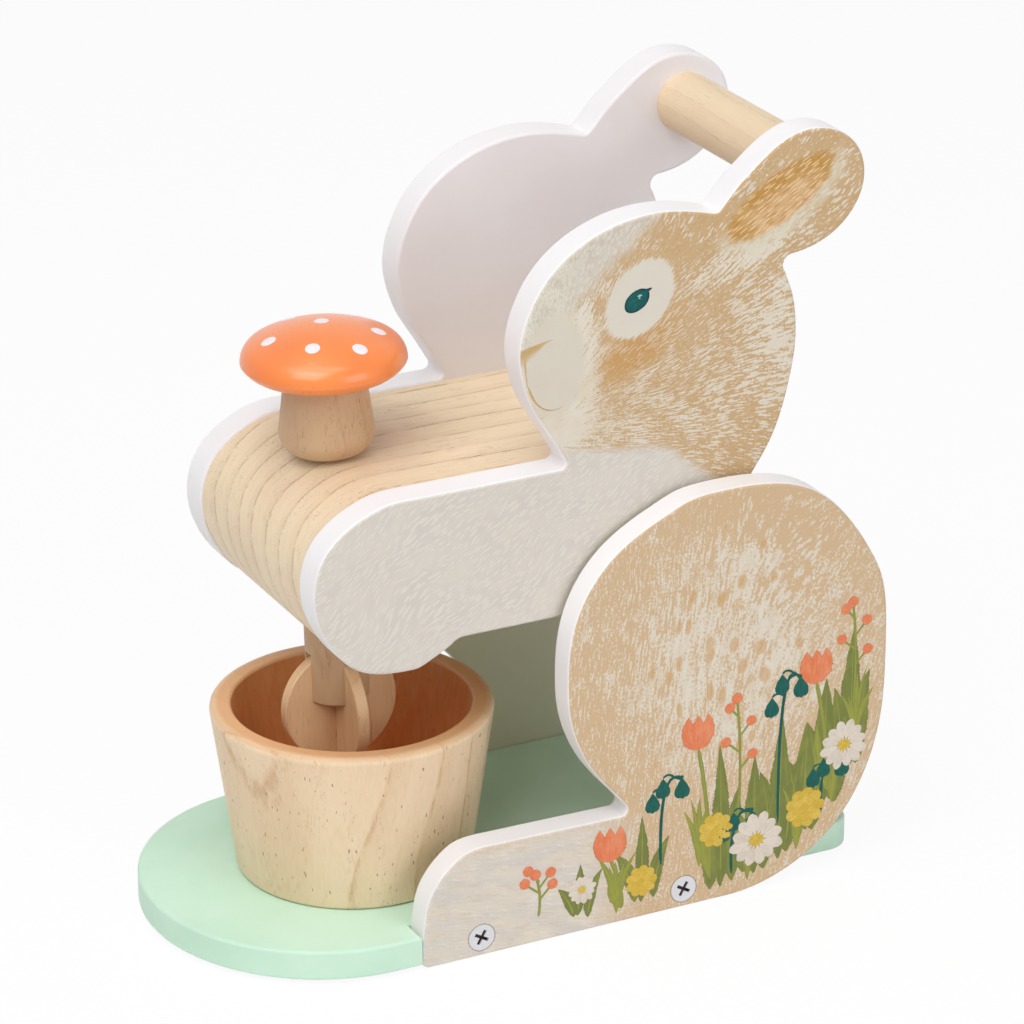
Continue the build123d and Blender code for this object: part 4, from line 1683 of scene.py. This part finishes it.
# ---- whisk ---------------------------------------------------------------------
@dataclass
class Whisk:
    """Mushroom knob, shaft and discs, with white spots on the cap."""

    joint: str = "whisk_turn"
    crown_rise: float = 11.5
    edge_radius: float = 7.0
    spots: tuple[Spot, ...] = (
        (3.3, 70.0), (17.3, 171.0), (14.6, 233.0), (17.7, 285.0),
        (17.2, 336.0), (17.4, 36.0), (17.4, 102.0),
    )
    spot_radius: float = 2.35
    spot_thick: float = 0.12
    around: int = 24
    dome: tuple[Spot, ...] = (
        (0.3, 1.0), (0.6, 1.0), (0.85, 0.9), (0.96, 0.55), (1.0, 0.0), (1.0, -1.0),
    )

    def dress(self) -> None:
        """Finish the whisk's CAD nodes."""
        stem = BareWood(
            "stem_wood", STEM_LIGHT, STEM_DARK, Grain.ALONG_Z,
            pith=(60.0, 90.0), ring=7.0, line=0.15, band=0.12, pores=0.35, figure=0.40,
        )
        ply = BareWood(
            "whisk_wood", DISC_LIGHT, DISC_DARK, Grain.ALONG_Z,
            pith=(-90.0, 60.0), ring=6.0, line=0.12, band=0.12, pores=0.2, figure=0.35,
        )
        washer = SatinPaint("slip_washer_plastic", NYLON, NYLON_SHADE, roughness=0.35)
        paint = SatinPaint("cap_paint", ORANGE, ORANGE_DEEP, roughness=0.30, coat=0.25, peel=0.01)
        dress(paint.material(), "mushroom_cap")
        dress(stem.material(), "mushroom_stem", "whisk_shaft")
        dress(ply.material(), "whisk_disc_long", "whisk_disc_cross")
        dress(ZincScrew("knob_screw_zinc").material(), "spindle_screw")
        dress(washer.material(), "whisk_washers")

    def crown(self, radius: np.ndarray, cap_radius: float) -> np.ndarray:
        """Depth of the cap's crown below its top, an arc about the axis.

        Args:
            radius: Distances from the axis.
            cap_radius: The cap's largest radius.

        Returns:
            Depth below the top at each distance.
        """
        edge = cap_radius - self.edge_radius
        rise, bend = self.crown_rise, self.edge_radius
        arc = (edge**2 + rise**2 - bend**2) / (2.0 * (rise - bend))
        limit = arc * edge / math.hypot(edge, arc - rise)
        return arc - np.sqrt(arc**2 - np.clip(radius, 0.0, limit) ** 2)

    def build(self) -> None:
        """Lay the spots on the cap, each at its distance and bearing from the middle."""
        joint = next(j for j in frame["joints"] if j["name"] == self.joint)
        axis = np.array(joint["axis"], float)
        axis /= np.linalg.norm(axis)
        front = np.cross(np.array([0.0, 1.0, 0.0]), axis)
        low, high = (np.array(corner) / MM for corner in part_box("mushroom_cap"))
        cap_radius = (high[1] - low[1]) / 2.0
        foot = np.array(joint["pos_m"], float) / MM
        top = foot + axis * ((high[2] - foot[2]) / axis[2])
        seat = np.stack([front, np.cross(axis, front), axis])
        spots = Dabs("cap_spots")
        for k, (distance, angle) in enumerate(self.spots):
            self.spot(spots, distance, math.radians(angle), top, seat, cap_radius, (k * 0.31) % 1.0)
        paint = DabPaint("spot_paint", SPOT_WHITE, SPOT_SHADE, amount=0.5, ragged=0.0).material()
        keep(spots.build(paint, True), "whisk")

    def spot(
        self,
        spots: Dabs,
        distance: float,
        angle: float,
        top: np.ndarray,
        seat: np.ndarray,
        cap_radius: float,
        tone: float,
    ) -> None:
        """Lay one spot: a flat dome of rings, by radius and height, draped over the cap's crown.

        Args:
            spots: The mesh that takes it.
            distance: How far its middle is from the axis.
            angle: Its bearing about the axis, in radians.
            top: The cap's top.
            seat: Directions of angle 0, of a quarter turn and of the axis.
            cap_radius: The cap's largest radius.
            tone: Colour shift, 0 to 1.
        """
        share, out = (np.array(column)[:, None] for column in zip(*self.dome))
        out = out * self.spot_thick
        turn = np.linspace(0.0, 2.0 * np.pi, self.around, endpoint=False)
        middle = distance * np.array([math.cos(angle), math.sin(angle)])
        right = middle[0] + self.spot_radius * share * np.cos(turn)
        up = middle[1] + self.spot_radius * share * np.sin(turn)
        level = out - self.crown(np.hypot(right, up), cap_radius)
        rings = top + np.stack([right, up, level], axis=-1) @ seat
        drop = float(self.crown(np.array(distance), cap_radius))
        ends = np.array([[*middle, self.spot_thick - drop], [*middle, -self.spot_thick - drop]])
        flat = np.stack(np.broadcast_arrays(share, 0.5 + 0.4 * share * np.sin(turn)), axis=-1)
        spots.add(rings, top + ends @ seat, flat, tone)


# ---- bowl ----------------------------------------------------------------------
@dataclass
class Bowl:
    """The turned bowl."""

    def dress(self) -> None:
        """Finish the bowl."""
        wood = BowlWood(
            "bowl_wood", BOWL_LIGHT, BOWL_DARK, Grain.ALONG_Z,
            pith=(120.0, 70.0), ring=15.0, line=0.34, band=0.16, pores=0.22, figure=0.36, sway=13.0,
        )
        dress(wood.material(), "mixing_bowl")


# ---- studio --------------------------------------------------------------------
@dataclass
class Studio:
    """Pale floor, white surroundings, soft lamps and the camera."""

    camera_place: tuple[float, float, float] = (-0.6226, -1.2422, 0.7121)
    camera_right: tuple[float, float, float] = (0.89047, -0.45505, -0.0009)
    camera_up: tuple[float, float, float] = (0.17828, 0.34705, 0.92074)
    focal_pixels: float = 4745.4
    sensor: float = 36.0
    floor_half: float = 3.0
    world_strength: float = 0.26

    def build(self) -> None:
        """Set up floor, world, lamps and camera."""
        self.floor()
        self.world()
        self.lamp("key_lamp", (-0.95, -0.70, 1.45), 1.1, 13.0)
        self.lamp("top_lamp", (-0.35, -0.15, 1.60), 1.2, 9.5)
        self.lamp("front_lamp", (0.55, -1.65, 0.85), 1.0, 8.4)
        self.camera()

    def floor(self) -> None:
        """Lay the floor just under the toy; the camera sees it mostly as bright white."""
        half = self.floor_half
        mesh = bpy.data.meshes.new("floor")
        rim = [(-half, -half, 0.0), (half, -half, 0.0), (half, half, 0.0), (-half, half, 0.0)]
        mesh.from_pydata(rim, [], [(0, 1, 2, 3)])
        made = bpy.data.objects.new("floor", mesh)
        bpy.context.scene.collection.objects.link(made)
        nodes = new_nodes("floor_white")
        plain = nodes.add("ShaderNodeBsdfDiffuse", None, {"Color": FLOOR_WHITE})
        glow = nodes.add("ShaderNodeEmission", None, {"Color": PURE_WHITE, "Strength": 1.0})
        share = self.seen(nodes) * 0.92
        inputs = {0: share, 1: plain.outputs[0], 2: glow.outputs[0]}
        shader = nodes.add("ShaderNodeMixShader", None, inputs)
        nodes.add("ShaderNodeOutputMaterial", None, {0: shader.outputs[0]})
        mesh.materials.append(nodes.owner)

    def seen(self, nodes: Nodes) -> Value:
        """Tell rays of the camera and of mirror and glass from all others.

        Args:
            nodes: The tree that needs to know.

        Returns:
            1 for those rays, else 0.
        """
        path = nodes.add("ShaderNodeLightPath")
        total = Value(nodes, path.outputs["Is Camera Ray"])
        for name in ("Is Glossy Ray", "Is Transmission Ray"):
            total = total.at_least(Value(nodes, path.outputs[name]))
        return total

    def world(self) -> None:
        """Light evenly from all round, and show white behind."""
        world = bpy.data.worlds.new("white_surroundings")
        bpy.context.scene.world = world
        nodes = Nodes(world)
        strength = self.seen(nodes) * (1.0 - self.world_strength) + self.world_strength
        shader = nodes.add("ShaderNodeBackground", None, {0: PURE_WHITE, 1: strength})
        nodes.add("ShaderNodeOutputWorld", None, {0: shader.outputs[0]})

    def lamp(self, name: str, place: tuple[float, float, float], size: float, power: float) -> None:
        """Add a square soft lamp that faces the toy.

        Args:
            name: Its name.
            place: Where it stands, in metres.
            size: Its side.
            power: Its power in watts.
        """
        light = bpy.data.lights.new(name, "AREA")
        light.shape = "SQUARE"
        light.size = size
        light.energy = power
        lamp = bpy.data.objects.new(name, light)
        lamp.location = place
        aim = Vector((0.0, 0.0, 0.12)) - lamp.location
        lamp.rotation_euler = aim.to_track_quat("-Z", "Y").to_euler()
        bpy.context.scene.collection.objects.link(lamp)

    def camera(self) -> None:
        """Place the camera from its measured place, axes and focal length."""
        data = bpy.data.cameras.new("camera")
        data.sensor_width = self.sensor
        data.lens = self.focal_pixels * self.sensor / PICTURE_PIXELS
        data.clip_end = 20.0
        right = np.array(self.camera_right)
        right /= np.linalg.norm(right)
        back = np.cross(right, np.array(self.camera_up))
        back /= np.linalg.norm(back)
        turn = Matrix(np.stack([right, np.cross(back, right), back], axis=1).tolist()).to_4x4()
        camera = bpy.data.objects.new("camera", data)
        camera.matrix_world = Matrix.Translation(self.camera_place) @ turn
        bpy.context.scene.collection.objects.link(camera)
        bpy.context.scene.camera = camera
        bpy.context.scene.view_settings.view_transform = "Standard"


def main() -> None:
    """Dress the CAD nodes, build the new pieces and set up the studio."""
    logging.basicConfig(level=logging.INFO, format="%(name)s: %(message)s")
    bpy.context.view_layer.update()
    for assembly in (Base(), Head(), Whisk()):
        assembly.dress()
        assembly.build()
    Bowl().dress()
    Studio().build()


if __name__ == "__main__":
    main()
